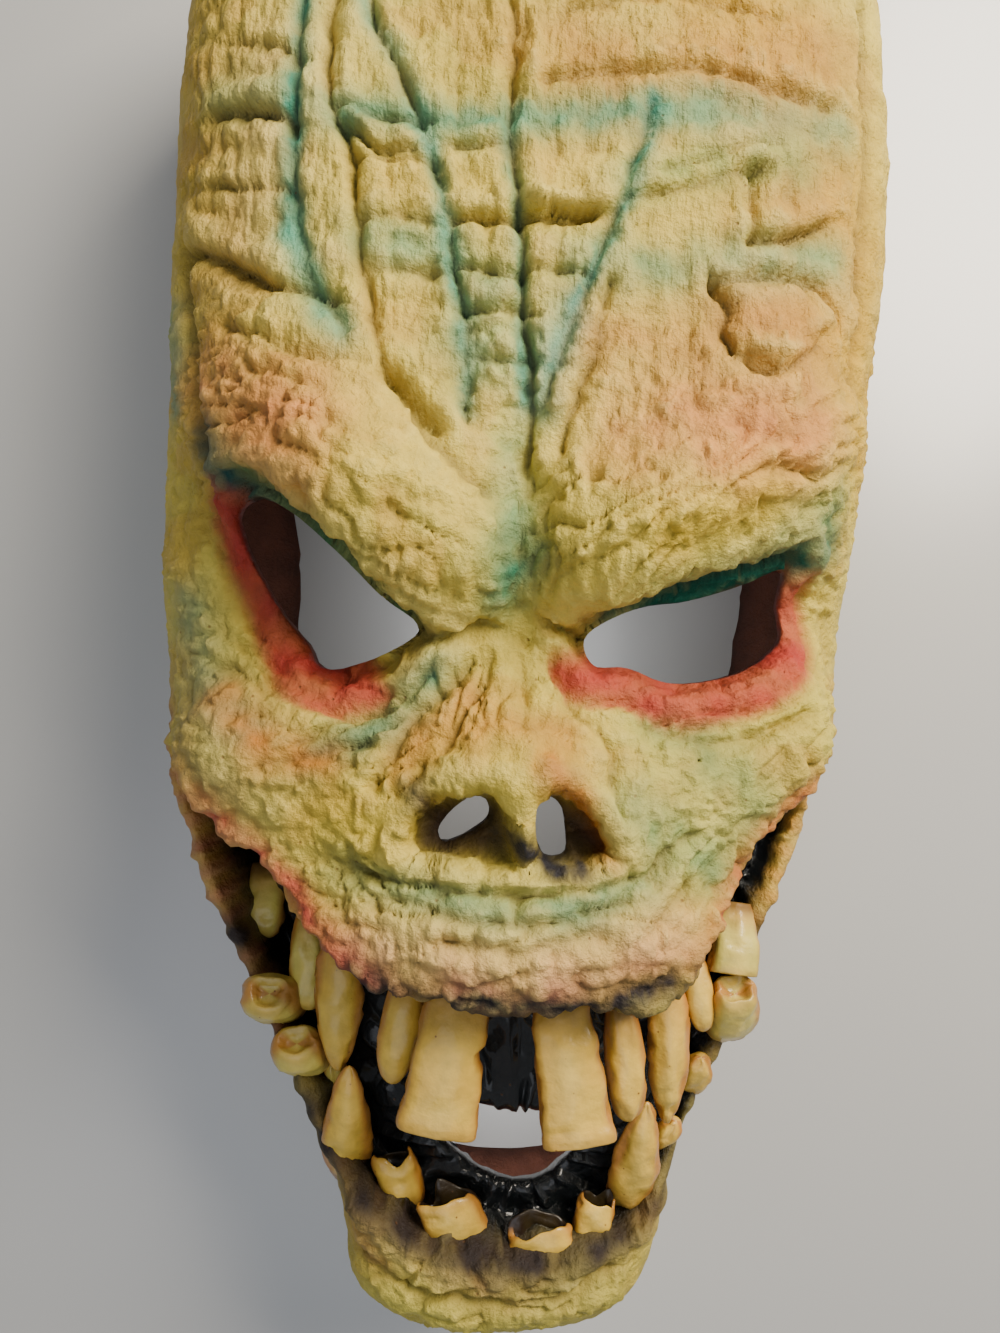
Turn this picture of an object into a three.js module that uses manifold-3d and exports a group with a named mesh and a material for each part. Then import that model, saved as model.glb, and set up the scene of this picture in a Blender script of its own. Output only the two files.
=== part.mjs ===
// A full-face demon mask of cast latex, lying face up on its open back.
// One hollow skin carries the brows, nose cavity, muzzle, gums and jaw, and
// twenty-two separately cast teeth are seated in the gums.
// Millimetres: X to the right of the face as seen, Y towards the crown,
// Z out of the face, with the rear rim in the plane Z = 0.
import * as THREE from "three";
import { mergeVertices } from "three/addons/utils/BufferGeometryUtils.js";
import Module from "manifold-3d";

const wasm = await Module();
wasm.setup();

// Driving dimensions
const MASK_WIDTH = 218;
const MASK_LENGTH = 457;
const FRONT_HEIGHT = 130; // the plain form's front above the rear rim, brows and nose not counted
const BULGE_HEIGHT = 50; // height at which the flanks are widest
const WALL = 2.6; // latex thickness
const RIM_SHARE = 0.87; // rear rim's size against the widest outline
const MOUTH_EDGE = 9; // width over which the lips drop to the gums
const NOSE_EDGE = 5; // width over which the nose cavity's lip drops
const NOSE_CAVITY_DEPTH = 7;
const GUM_HEIGHT = 107; // gum under the upper lip, above the rear rim
const GUM_FALL = 0.34; // fall of the gum towards the chin, per millimetre
const GUM_ARCH = 0.84; // fall of the gum at the flanks, against its height
const LEFT_EYE_WIDTH = 55; // left opening, along its slant
const LEFT_EYE_HEIGHT = 28;
const RIGHT_EYE_WIDTH = 55;
const RIGHT_EYE_HEIGHT = 27;
const NOSTRIL_WIDTH = 8;
const NOSTRIL_LENGTH = 15;
const MOUTH_HOLE_WIDTH = 44;
const MOUTH_HOLE_HEIGHT = 19;
const LIP_OVERRUN = 0.3; // share of a lip's edge that lies outside its line
const UPPER_LIP = -0.49; // middle of the upper lip, of the half length
const SEAT_GAP = 0.55; // between a tooth and the gum that it is seated in

const HALF_WIDTH = MASK_WIDTH / 2;
const HALF_LENGTH = MASK_LENGTH / 2;
const OUTLINE_STEPS = 8; // steps of the outline's curve for each row of its table
const EDGE_STEPS = 3; // the same for the mouth, the nose cavity and the openings
const WELD = 1e-3; // vertices this close are one
const FRONT_SHARE = 0.86; // share of the sheet that lies in front of the widest outline
const FACE_CROWDING = 1.5; // exponent that draws the sheet's rows down towards the face
const CELLS_ACROSS = 34;
const CELLS_ALONG = 62;

// Widest outline from the crown clockwise: x of the half width, y of the half length
const OUTLINE = [
  { x: 0.05, y: 1.0 }, { x: 0.47, y: 0.985 }, { x: 0.79, y: 0.93 }, { x: 0.95, y: 0.83 },
  { x: 0.995, y: 0.61 }, { x: 0.995, y: 0.4 }, { x: 0.94, y: 0.18 }, { x: 0.91, y: -0.03 },
  { x: 0.86, y: -0.17 }, { x: 0.785, y: -0.28 }, { x: 0.7, y: -0.4 }, { x: 0.61, y: -0.49 },
  { x: 0.55, y: -0.59 }, { x: 0.47, y: -0.69 }, { x: 0.4, y: -0.79 }, { x: 0.37, y: -0.87 },
  { x: 0.3, y: -0.94 }, { x: 0.18, y: -0.985 }, { x: -0.06, y: -1.0 }, { x: -0.31, y: -0.985 },
  { x: -0.45, y: -0.93 }, { x: -0.49, y: -0.85 }, { x: -0.53, y: -0.76 }, { x: -0.62, y: -0.65 },
  { x: -0.7, y: -0.56 }, { x: -0.79, y: -0.46 }, { x: -0.89, y: -0.37 }, { x: -0.95, y: -0.27 },
  { x: -0.99, y: -0.15 }, { x: -1.005, y: -0.02 }, { x: -0.98, y: 0.2 }, { x: -0.96, y: 0.4 },
  { x: -0.94, y: 0.61 }, { x: -0.88, y: 0.83 }, { x: -0.72, y: 0.93 }, { x: -0.39, y: 0.985 },
];

// Front of the plain form along its middle: y of the half length, z of the front height
const PROFILE = [
  { y: -1.0, z: 0.77 }, { y: -0.93, z: 0.8 }, { y: -0.87, z: 0.79 }, { y: -0.8, z: 0.8 },
  { y: -0.66, z: 0.94 }, { y: -0.55, z: 1.01 }, { y: -0.48, z: 1.03 }, { y: -0.42, z: 1.045 },
  { y: -0.35, z: 1.015 }, { y: -0.25, z: 1.03 }, { y: -0.19, z: 0.99 }, { y: -0.08, z: 0.93 },
  { y: 0.0, z: 0.985 }, { y: 0.11, z: 1.01 }, { y: 0.27, z: 1.0 }, { y: 0.45, z: 0.98 },
  { y: 0.64, z: 0.93 }, { y: 0.83, z: 0.86 }, { y: 1.0, z: 0.77 },
];

// Raised and sunken forms: centre as shares, half axes of the half width, turn in degrees,
// rise of the front height
const FORMS = [
  { name: "left brow, outer", x: -0.53, y: 0.16, long: 0.25, short: 0.2, turn: -38, rise: 0.09 },
  { name: "left brow, inner", x: -0.28, y: 0.045, long: 0.27, short: 0.15, turn: -38, rise: 0.12 },
  { name: "right brow, inner", x: 0.21, y: 0.03, long: 0.22, short: 0.14, turn: 22, rise: 0.12 },
  { name: "right brow, outer", x: 0.52, y: 0.12, long: 0.27, short: 0.19, turn: 25, rise: 0.11 },
  { name: "frown", x: -0.01, y: 0.055, long: 0.25, short: 0.065, turn: 90, rise: -0.04 },
  { name: "left socket", x: -0.55, y: -0.06, long: 0.27, short: 0.11, turn: -40, rise: -0.09 },
  { name: "right socket", x: 0.46, y: -0.075, long: 0.29, short: 0.11, turn: 10, rise: -0.09 },
  { name: "nose", x: -0.03, y: -0.225, long: 0.18, short: 0.16, turn: 90, rise: 0.06 },
  { name: "nose wings", x: -0.04, y: -0.3, long: 0.27, short: 0.08, turn: 0, rise: 0.04 },
  { name: "left cheekbone", x: -0.73, y: -0.21, long: 0.15, short: 0.14, turn: 60, rise: 0.06 },
  { name: "right cheekbone", x: 0.66, y: -0.2, long: 0.15, short: 0.13, turn: 60, rise: 0.06 },
  { name: "muzzle", x: -0.05, y: -0.41, long: 0.39, short: 0.15, turn: 0, rise: 0.05 },
  { name: "wart", x: 0.57, y: 0.25, long: 0.14, short: 0.09, turn: 8, rise: 0.035 },
  { name: "chin", x: -0.07, y: -0.9, long: 0.31, short: 0.11, turn: 0, rise: 0.04 },
];

// Edge of the grin: upper lip from the left corner to the right, then the jaw's lip back
const MOUTH = [
  { x: -0.88, y: -0.22 }, { x: -0.79, y: -0.283 }, { x: -0.68, y: -0.335 }, { x: -0.55, y: -0.383 },
  { x: -0.45, y: -0.433 }, { x: -0.34, y: -0.472 }, { x: -0.22, y: -0.48 }, { x: -0.05, y: -0.491 },
  { x: 0.12, y: -0.485 }, { x: 0.27, y: -0.494 }, { x: 0.38, y: -0.46 }, { x: 0.44, y: -0.417 },
  { x: 0.51, y: -0.368 }, { x: 0.6, y: -0.322 }, { x: 0.73, y: -0.27 }, { x: 0.74, y: -0.34 },
  { x: 0.66, y: -0.43 }, { x: 0.58, y: -0.534 }, { x: 0.49, y: -0.65 }, { x: 0.4, y: -0.76 },
  { x: 0.31, y: -0.82 }, { x: 0.17, y: -0.84 }, { x: -0.05, y: -0.845 }, { x: -0.27, y: -0.825 },
  { x: -0.42, y: -0.78 }, { x: -0.52, y: -0.71 }, { x: -0.62, y: -0.61 }, { x: -0.72, y: -0.51 },
  { x: -0.84, y: -0.385 }, { x: -0.92, y: -0.27 },
];

// Edge of the skull-like nose cavity
const NOSE_CAVITY = [
  { x: -0.27, y: -0.3 }, { x: -0.22, y: -0.265 }, { x: -0.1, y: -0.25 }, { x: 0.0, y: -0.262 },
  { x: 0.08, y: -0.25 }, { x: 0.16, y: -0.28 }, { x: 0.19, y: -0.325 }, { x: 0.09, y: -0.34 },
  { x: -0.04, y: -0.34 }, { x: -0.15, y: -0.33 }, { x: -0.25, y: -0.33 },
];

// Openings: centre as shares of the mask, own width and height, turn, and an outline in half sizes
const OPENINGS = [
  {
    x: -0.515, y: -0.04, width: LEFT_EYE_WIDTH, height: LEFT_EYE_HEIGHT, turn: -38,
    edge: [[-1.0, 0.33], [-0.94, 0.85], [-0.53, 1.0], [0.05, 0.94], [0.58, 0.8], [0.98, 0.8],
      [1.0, 0.38], [0.78, -0.4], [0.5, -1.0], [0.2, -0.82], [-0.1, -0.7], [-0.4, -0.48], [-0.72, -0.15]],
  },
  {
    x: 0.405, y: -0.078, width: RIGHT_EYE_WIDTH, height: RIGHT_EYE_HEIGHT, turn: 12,
    edge: [[-1.0, 0.3], [-1.02, -0.3], [-0.7, -0.5], [-0.35, -0.95], [0.1, -1.1], [0.55, -1.0],
      [0.9, -0.6], [0.95, 0.1], [1.02, 0.75], [0.6, 0.62], [0.1, 0.55], [-0.45, 0.6]],
  },
  {
    x: -0.142, y: -0.288, width: NOSTRIL_WIDTH, height: NOSTRIL_LENGTH, turn: -48,
    edge: [[0.0, 1.0], [0.9, 0.6], [0.8, -0.3], [0.3, -1.0], [-0.5, -0.95], [-0.9, -0.2], [-0.8, 0.7]],
  },
  {
    x: 0.053, y: -0.295, width: NOSTRIL_WIDTH, height: NOSTRIL_LENGTH, turn: 4,
    edge: [[0.1, 1.0], [0.8, 0.6], [1.0, -0.3], [0.8, -0.95], [-0.4, -1.0], [-0.9, -0.3], [-0.8, 0.8]],
  },
  {
    x: -0.023, y: -0.715, width: MOUTH_HOLE_WIDTH, height: MOUTH_HOLE_HEIGHT, turn: -6,
    edge: [[-1.0, 0.75], [-0.6, 1.0], [0.0, 0.95], [0.55, 0.8], [1.0, 0.5], [0.8, -0.1],
      [0.5, -0.75], [0.1, -1.0], [-0.35, -0.85], [-0.8, -0.4], [-1.0, 0.0]],
  },
];

// Teeth: where root and tip lie, as shares of the half width and half length, and how far
// each end stands above the gum under it
const TEETH = [
  {
    name: "upper_left_central_incisor", form: "incisor", width: 17, thick: 9,
    root: { x: -0.155, y: -0.495, above: 7 }, tip: { x: -0.215, y: -0.648, above: 21 },
  },
  {
    name: "upper_right_central_incisor", form: "incisor", width: 16.4, thick: 9,
    root: { x: 0.085, y: -0.505, above: 7 }, tip: { x: 0.126, y: -0.654, above: 21 },
  },
  {
    name: "upper_left_lateral_incisor", form: "peg", width: 11, thick: 8,
    root: { x: -0.28, y: -0.485, above: 6 }, tip: { x: -0.321, y: -0.59, above: 15 },
  },
  {
    name: "upper_right_lateral_incisor", form: "peg", width: 10, thick: 8,
    root: { x: 0.235, y: -0.515, above: 6 }, tip: { x: 0.253, y: -0.629, above: 15 },
  },
  {
    name: "upper_left_fang", form: "fang", width: 11.5, thick: 9,
    root: { x: -0.445, y: -0.44, above: 5 }, tip: { x: -0.459, y: -0.589, above: 14 },
  },
  {
    name: "upper_right_fang", form: "fang", width: 10, thick: 9,
    root: { x: 0.355, y: -0.49, above: 5 }, tip: { x: 0.346, y: -0.639, above: 14 },
  },
  {
    name: "upper_left_premolar", form: "peg", width: 9.5, thick: 8,
    root: { x: -0.55, y: -0.43, above: 4 }, tip: { x: -0.555, y: -0.535, above: 14 },
  },
  {
    name: "upper_right_premolar", form: "peg", width: 8.5, thick: 8,
    root: { x: 0.43, y: -0.475, above: 4 }, tip: { x: 0.467, y: -0.567, above: 14 },
  },
  {
    name: "upper_left_molar", form: "molar", width: 11, thick: 9,
    root: { x: -0.655, y: -0.36, above: 3 }, tip: { x: -0.646, y: -0.452, above: 12 },
  },
  {
    name: "upper_right_molar", form: "molar", width: 10.5, thick: 9,
    root: { x: 0.535, y: -0.4, above: 5 }, tip: { x: 0.512, y: -0.488, above: 12 },
  },
  {
    name: "lower_left_fang", form: "fang", width: 13, thick: 10,
    root: { x: -0.44, y: -0.765, above: 3 }, tip: { x: -0.422, y: -0.612, above: 13 },
  },
  {
    name: "lower_right_fang", form: "fang", width: 11.5, thick: 9,
    root: { x: 0.25, y: -0.81, above: 3 }, tip: { x: 0.305, y: -0.652, above: 12 },
  },
  {
    name: "lower_left_incisor", form: "cup", width: 14.5, thick: 9,
    root: { x: -0.165, y: -0.83, above: 4 }, tip: { x: -0.225, y: -0.769, above: 13 },
  },
  {
    name: "lower_left_lateral", form: "cup", width: 12, thick: 9,
    root: { x: -0.32, y: -0.785, above: 3 }, tip: { x: -0.348, y: -0.728, above: 12 },
  },
  {
    name: "lower_right_incisor", form: "cup", width: 18, thick: 9,
    root: { x: 0.035, y: -0.845, above: 6 }, tip: { x: 0.04, y: -0.801, above: 13 },
  },
  {
    name: "lower_right_lateral", form: "cup", width: 10, thick: 8,
    root: { x: 0.165, y: -0.835, above: 5 }, tip: { x: 0.206, y: -0.774, above: 12 },
  },
  {
    name: "lower_left_premolar", form: "molar", width: 6.5, thick: 6,
    root: { x: -0.5, y: -0.675, above: 2 }, tip: { x: -0.509, y: -0.627, above: 9 },
  },
  {
    name: "lower_right_premolar", form: "molar", width: 7, thick: 6,
    root: { x: 0.345, y: -0.71, above: 2 }, tip: { x: 0.395, y: -0.675, above: 10 },
  },
  {
    name: "lower_left_molar", form: "cup", width: 12, thick: 10,
    root: { x: -0.585, y: -0.635, above: 1 }, tip: { x: -0.617, y: -0.561, above: 12 },
  },
  {
    name: "lower_right_molar", form: "molar", width: 8, thick: 7,
    root: { x: 0.46, y: -0.665, above: 3 }, tip: { x: 0.469, y: -0.612, above: 11 },
  },
  {
    name: "lower_left_back_molar", form: "cup", width: 13.5, thick: 11,
    root: { x: -0.685, y: -0.555, above: 1 }, tip: { x: -0.703, y: -0.498, above: 12 },
  },
  {
    name: "lower_right_back_molar", form: "molar", width: 12, thick: 9,
    root: { x: 0.545, y: -0.585, above: 1 }, tip: { x: 0.545, y: -0.497, above: 11 },
  },
];

// Outline of each kind of tooth from root to tip: distance along and girth, both as shares
const TOOTH_FORMS = {
  incisor: [
    { at: 0, girth: 0.78 }, { at: 0.2, girth: 0.93 }, { at: 0.5, girth: 0.97 },
    { at: 0.85, girth: 1 }, { at: 0.96, girth: 0.95 }, { at: 1, girth: 0.8 },
  ],
  peg: [
    { at: 0, girth: 0.72 }, { at: 0.25, girth: 0.92 }, { at: 0.5, girth: 1 },
    { at: 0.75, girth: 0.9 }, { at: 0.92, girth: 0.62 }, { at: 1, girth: 0.25 },
  ],
  fang: [
    { at: 0, girth: 0.7 }, { at: 0.2, girth: 0.95 }, { at: 0.45, girth: 1 },
    { at: 0.7, girth: 0.8 }, { at: 0.9, girth: 0.42 }, { at: 1, girth: 0.12 },
  ],
  molar: [
    { at: 0, girth: 0.85 }, { at: 0.3, girth: 1 }, { at: 0.6, girth: 1 },
    { at: 0.85, girth: 0.78 }, { at: 1, girth: 0.4 },
  ],
  // a worn crown: the last rows turn back down inside the rim
  cup: [
    { at: 0, girth: 0.75 }, { at: 0.3, girth: 0.97 }, { at: 0.7, girth: 1 }, { at: 0.96, girth: 0.9 },
    { at: 1, girth: 0.75 }, { at: 0.85, girth: 0.6 }, { at: 0.6, girth: 0.4 },
  ],
};
const TOOTH_SIDES = 10; // flats round a tooth
const TOOTH_SQUARENESS = 2.6; // exponent of the tooth's cross-section
const TOOTH_BOW = 0.06; // outward bow of a tooth against its length

function smooth(t) {
  const s = THREE.MathUtils.clamp(t, 0, 1);
  return s * s * (3 - 2 * s);
}

function closedCurve(points, perSpan) {
  const curve = new THREE.CatmullRomCurve3(
    points.map((p) => new THREE.Vector3(p.x, p.y, 0)), true, "catmullrom", 0.5,
  );
  return curve.getPoints(points.length * perSpan).slice(0, -1);
}

function onMask(rows) {
  return rows.map((row) => ({ x: row.x * HALF_WIDTH, y: row.y * HALF_LENGTH }));
}

// Distance into a closed edge: positive inside, negative outside
function insetFrom(edge, x, y) {
  let nearest = Infinity;
  let inside = false;
  edge.forEach((a, i) => {
    const b = edge[(i + 1) % edge.length];
    const dx = b.x - a.x;
    const dy = b.y - a.y;
    const t = THREE.MathUtils.clamp(((x - a.x) * dx + (y - a.y) * dy) / (dx * dx + dy * dy), 0, 1);
    nearest = Math.min(nearest, Math.hypot(x - a.x - t * dx, y - a.y - t * dy));
    if (a.y > y !== b.y > y && x < a.x + ((y - a.y) / dy) * dx) inside = !inside;
  });
  return inside ? nearest : -nearest;
}

function solidOf(positions, triangles) {
  const geometry = new THREE.BufferGeometry();
  geometry.setAttribute("position", new THREE.Float32BufferAttribute(positions, 3));
  geometry.setIndex(triangles);
  const merged = mergeVertices(geometry, WELD);
  return new wasm.Manifold(new wasm.Mesh({
    numProp: 3,
    vertProperties: merged.attributes.position.array,
    triVerts: new Uint32Array(merged.index.array),
  }));
}

function geometryOf(solid) {
  const mesh = solid.getMesh();
  const positions = new Float32Array(mesh.numVert * 3);
  for (let i = 0; i < mesh.numVert; i++) {
    positions.set(mesh.vertProperties.subarray(i * mesh.numProp, i * mesh.numProp + 3), i * 3);
  }
  const geometry = new THREE.BufferGeometry();
  geometry.setAttribute("position", new THREE.BufferAttribute(positions, 3));
  geometry.setIndex(new THREE.BufferAttribute(mesh.triVerts, 1));
  geometry.computeVertexNormals();
  return geometry;
}

// The plain form: a long bowl whose outline, front profile and rim follow the tables

const outline = closedCurve(onMask(OUTLINE), OUTLINE_STEPS)
  .map((p) => ({ angle: Math.atan2(p.y, p.x), radius: Math.hypot(p.x, p.y) }))
  .sort((a, b) => a.angle - b.angle);

function outlineRadius(angle) {
  const after = outline.findIndex((p) => p.angle > angle);
  const b = after < 0 ? { ...outline[0], angle: outline[0].angle + 2 * Math.PI } : outline[after];
  const a = after < 0 ? outline.at(-1)
    : after > 0 ? outline[after - 1]
      : { ...outline.at(-1), angle: outline.at(-1).angle - 2 * Math.PI };
  return THREE.MathUtils.mapLinear(angle, a.angle, b.angle, a.radius, b.radius);
}

// Smooth curve through the profile's rows
function profileHeight(y) {
  const share = THREE.MathUtils.clamp(y / HALF_LENGTH, -1, 1);
  const i = Math.max(1, PROFILE.findIndex((row) => row.y >= share));
  const [a, b] = [PROFILE[i - 1], PROFILE[i]];
  const before = PROFILE[Math.max(0, i - 2)];
  const after = PROFILE[Math.min(PROFILE.length - 1, i + 1)];
  const span = b.y - a.y;
  const t = (share - a.y) / span;
  const slopeA = ((b.z - before.z) / (b.y - before.y)) * span;
  const slopeB = ((after.z - a.z) / (after.y - a.y)) * span;
  const rise = a.z + (b.z - a.z) * smooth(t)
    + slopeA * t * (1 - t) ** 2 - slopeB * t * t * (1 - t);
  return rise * FRONT_HEIGHT;
}

const SHOULDER = 5; // exponent: how late the sheet's cells draw together towards the flanks
const SIDE_ROUNDNESS = 2.6; // exponent of a section across the face
const END_ROUNDNESS = 4.5; // exponent of the section along the face

// Sheet coordinates from -1 to 1 to a point of the plain form, with its share down the flank
function plainPoint(u, v) {
  const p = u * Math.sqrt(1 - (v * v) / 2);
  const q = v * Math.sqrt(1 - (u * u) / 2);
  const reach = Math.min(1, Math.hypot(p, q));
  const angle = Math.atan2(q * HALF_LENGTH, p * HALF_WIDTH);
  const front = Math.min(1, reach / FRONT_SHARE);
  const flank = Math.max(0, (reach - FRONT_SHARE) / (1 - FRONT_SHARE));
  const spread = front * (1 + (1 - front ** SHOULDER) / SHOULDER);
  const radius = spread * (1 - (1 - RIM_SHARE) * flank * flank) * outlineRadius(angle);
  const x = radius * Math.cos(angle);
  const y = radius * Math.sin(angle);
  const endwise = reach > 0 ? (q / reach) ** 2 : 0;
  const roundness = THREE.MathUtils.lerp(SIDE_ROUNDNESS, END_ROUNDNESS, endwise);
  const crown = Math.max(0, 1 - spread ** roundness) ** (1 / roundness);
  const z = flank > 0
    ? BULGE_HEIGHT * (1 - flank)
    : BULGE_HEIGHT + (profileHeight(y) - BULGE_HEIGHT) * crown;
  return { point: new THREE.Vector3(x, y, z), flank };
}

// Relief on the plain form

const FORM_EDGE = 1.3; // exponent: how plainly a form ends against the face

function formRise(x, y) {
  return FORMS.reduce((sum, form) => {
    const turn = THREE.MathUtils.degToRad(form.turn);
    const dx = x - form.x * HALF_WIDTH;
    const dy = y - form.y * HALF_LENGTH;
    const along = (dx * Math.cos(turn) + dy * Math.sin(turn)) / (form.long * HALF_WIDTH);
    const across = (dy * Math.cos(turn) - dx * Math.sin(turn)) / (form.short * HALF_WIDTH);
    return sum + form.rise * FRONT_HEIGHT * Math.exp(-((along ** 2 + across ** 2) ** FORM_EDGE));
  }, 0);
}

function gumHeight(x, y) {
  const fall = (UPPER_LIP * HALF_LENGTH - y) * GUM_FALL;
  return GUM_HEIGHT - fall - GUM_ARCH * GUM_HEIGHT * (x / HALF_WIDTH) ** 2;
}

const mouthEdge = closedCurve(onMask(MOUTH), EDGE_STEPS);
const noseEdge = closedCurve(onMask(NOSE_CAVITY), EDGE_STEPS);

function sink(inset, edgeWidth) {
  return smooth(inset / edgeWidth + LIP_OVERRUN);
}

// Grid of outer points with unit normals, rows along the face
function neighbours(points, i, j) {
  const row = points[j];
  return {
    left: row[Math.max(0, i - 1)],
    right: row[Math.min(CELLS_ACROSS, i + 1)],
    below: points[Math.max(0, j - 1)][i],
    above: points[Math.min(CELLS_ALONG, j + 1)][i],
  };
}

function normalsOf(points) {
  return points.map((row, j) => row.map((_, i) => {
    const { left, right, below, above } = neighbours(points, i, j);
    const normal = new THREE.Vector3().subVectors(right, left)
      .cross(new THREE.Vector3().subVectors(above, below));
    // the sheet's four corners lie on the rim, where its two directions run the same way
    if (normal.length() < WELD) normal.set(points[j][i].x, points[j][i].y, 0);
    return normal.normalize();
  }));
}

function outerSheet() {
  const plain = [];
  for (let j = 0; j <= CELLS_ALONG; j++) {
    const row = [];
    for (let i = 0; i <= CELLS_ACROSS; i++) {
      row.push(plainPoint((2 * i) / CELLS_ACROSS - 1, 2 * (j / CELLS_ALONG) ** FACE_CROWDING - 1));
    }
    plain.push(row);
  }
  const normals = normalsOf(plain.map((row) => row.map((cell) => cell.point)));
  return plain.map((row, j) => row.map(({ point, flank }, i) => {
    const { x, y } = point;
    const raised = point.clone().addScaledVector(normals[j][i], formRise(x, y) * (1 - flank));
    const mouth = sink(insetFrom(mouthEdge, x, y), MOUTH_EDGE) * (1 - flank);
    raised.z = THREE.MathUtils.lerp(raised.z, Math.min(raised.z, gumHeight(x, y)), mouth);
    raised.z -= NOSE_CAVITY_DEPTH * sink(insetFrom(noseEdge, x, y), NOSE_EDGE);
    return raised;
  }));
}

function softened(normals) {
  return normals.map((row, j) => row.map((n, i) => {
    const near = neighbours(normals, i, j);
    return n.clone().add(near.left).add(near.right).add(near.below).add(near.above).normalize();
  }));
}

function onRim(i, j) {
  return i === 0 || j === 0 || i === CELLS_ACROSS || j === CELLS_ALONG;
}

// Moves a sheet along its normals, its rim level in the rear plane
function offsetSheet(points, normals, distance) {
  return points.map((row, j) => row.map((p, i) => {
    const direction = normals[j][i].clone();
    if (onRim(i, j)) direction.setZ(0).normalize();
    const moved = p.clone().addScaledVector(direction, distance);
    if (onRim(i, j)) moved.z = 0;
    return moved;
  }));
}

// Closes an upper and a lower sheet of the same cells along their edges
function closedSheets(upper, lower) {
  const positions = [...upper.flat(), ...lower.flat()].flatMap((p) => [p.x, p.y, p.z]);
  const perRow = CELLS_ACROSS + 1;
  const lowerStart = perRow * (CELLS_ALONG + 1);
  const id = (i, j) => j * perRow + i;
  const triangles = [];
  for (let j = 0; j < CELLS_ALONG; j++) {
    for (let i = 0; i < CELLS_ACROSS; i++) {
      const [a, b, c, d] = [id(i, j), id(i + 1, j), id(i + 1, j + 1), id(i, j + 1)];
      for (const [sheet, start] of [[upper, 0], [lower, lowerStart]]) {
        // the cut across a cell runs along the slope's contour, so that an edge in relief stays even
        const corners = [sheet[j][i], sheet[j][i + 1], sheet[j + 1][i + 1], sheet[j + 1][i]];
        const level = Math.abs(corners[0].z - corners[2].z) < Math.abs(corners[1].z - corners[3].z);
        const halves = level ? [a, b, c, a, c, d] : [a, b, d, b, c, d];
        if (start) halves.reverse();
        triangles.push(...halves.map((k) => k + start));
      }
    }
  }
  const border = [];
  for (let i = 0; i < CELLS_ACROSS; i++) border.push([id(i, 0), id(i + 1, 0)]);
  for (let j = 0; j < CELLS_ALONG; j++) border.push([id(CELLS_ACROSS, j), id(CELLS_ACROSS, j + 1)]);
  for (let i = CELLS_ACROSS; i > 0; i--) border.push([id(i, CELLS_ALONG), id(i - 1, CELLS_ALONG)]);
  for (let j = CELLS_ALONG; j > 0; j--) border.push([id(0, j), id(0, j - 1)]);
  for (const [a, b] of border) {
    triangles.push(b, a, a + lowerStart, b, a + lowerStart, b + lowerStart);
  }
  return solidOf(positions, triangles);
}

// Openings are cut straight back through the front

function openingCutter(opening) {
  const outlinePoints = closedCurve(
    opening.edge.map(([x, y]) => ({ x: (x * opening.width) / 2, y: (y * opening.height) / 2 })), EDGE_STEPS,
  );
  const geometry = new THREE.ExtrudeGeometry(
    new THREE.Shape(outlinePoints.map((p) => new THREE.Vector2(p.x, p.y))),
    { depth: FRONT_HEIGHT, bevelEnabled: false },
  );
  geometry.rotateZ(THREE.MathUtils.degToRad(opening.turn));
  geometry.translate(opening.x * HALF_WIDTH, opening.y * HALF_LENGTH, BULGE_HEIGHT);
  geometry.deleteAttribute("normal");
  geometry.deleteAttribute("uv");
  const merged = mergeVertices(geometry, WELD);
  return solidOf([...merged.attributes.position.array], [...merged.index.array]);
}

const outer = outerSheet();
const outerNormals = normalsOf(outer);

function skinSolid() {
  const shell = closedSheets(outer, offsetSheet(outer, softened(outerNormals), -WALL));
  return OPENINGS.reduce((solid, opening) => solid.subtract(openingCutter(opening)), shell);
}

const SEAT_FOOT = 0.7; // foot of the tooth-seat solid against the outline above it

function filledBelow(sheet) {
  const foot = sheet.map((row, j) => row.map((p, i) => (onRim(i, j)
    ? p.clone()
    : new THREE.Vector3(p.x * SEAT_FOOT, p.y * SEAT_FOOT, -WALL))));
  return closedSheets(sheet, foot);
}

// Everything up to SEAT_GAP from the skin, sideways and upwards, which the teeth stay out of
function seatSolid() {
  const aside = filledBelow(offsetSheet(outer, outerNormals, SEAT_GAP));
  const above = filledBelow(outer).translate([0, 0, SEAT_GAP]);
  return aside.add(above);
}

// Teeth

function toothEnd(end) {
  const x = end.x * HALF_WIDTH;
  const y = end.y * HALF_LENGTH;
  return new THREE.Vector3(x, y, gumHeight(x, y) + end.above);
}

// Closed sections of a tooth from root to tip
function toothRings(tooth) {
  const root = toothEnd(tooth.root);
  const tip = toothEnd(tooth.tip);
  const length = root.distanceTo(tip);
  const axis = tip.clone().sub(root).normalize();
  const side = new THREE.Vector3(-axis.y, axis.x, 0).normalize();
  const face = new THREE.Vector3().crossVectors(side, axis);
  if (face.z < 0) face.negate();
  return TOOTH_FORMS[tooth.form].map(({ at, girth }) => {
    const centre = root.clone()
      .addScaledVector(axis, at * length)
      .addScaledVector(face, TOOTH_BOW * length * 4 * at * (1 - at));
    return Array.from({ length: TOOTH_SIDES }, (_, k) => {
      const turn = (2 * Math.PI * k) / TOOTH_SIDES;
      const [c, s] = [Math.cos(turn), Math.sin(turn)];
      const swell = (Math.abs(c) ** TOOTH_SQUARENESS + Math.abs(s) ** TOOTH_SQUARENESS)
        ** (-1 / TOOTH_SQUARENESS);
      return centre.clone()
        .addScaledVector(side, (swell * c * girth * tooth.width) / 2)
        .addScaledVector(face, (swell * s * girth * tooth.thick) / 2);
    });
  });
}

function middleOf(ring) {
  return ring.reduce((sum, p) => sum.add(p), new THREE.Vector3()).divideScalar(ring.length);
}

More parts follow.
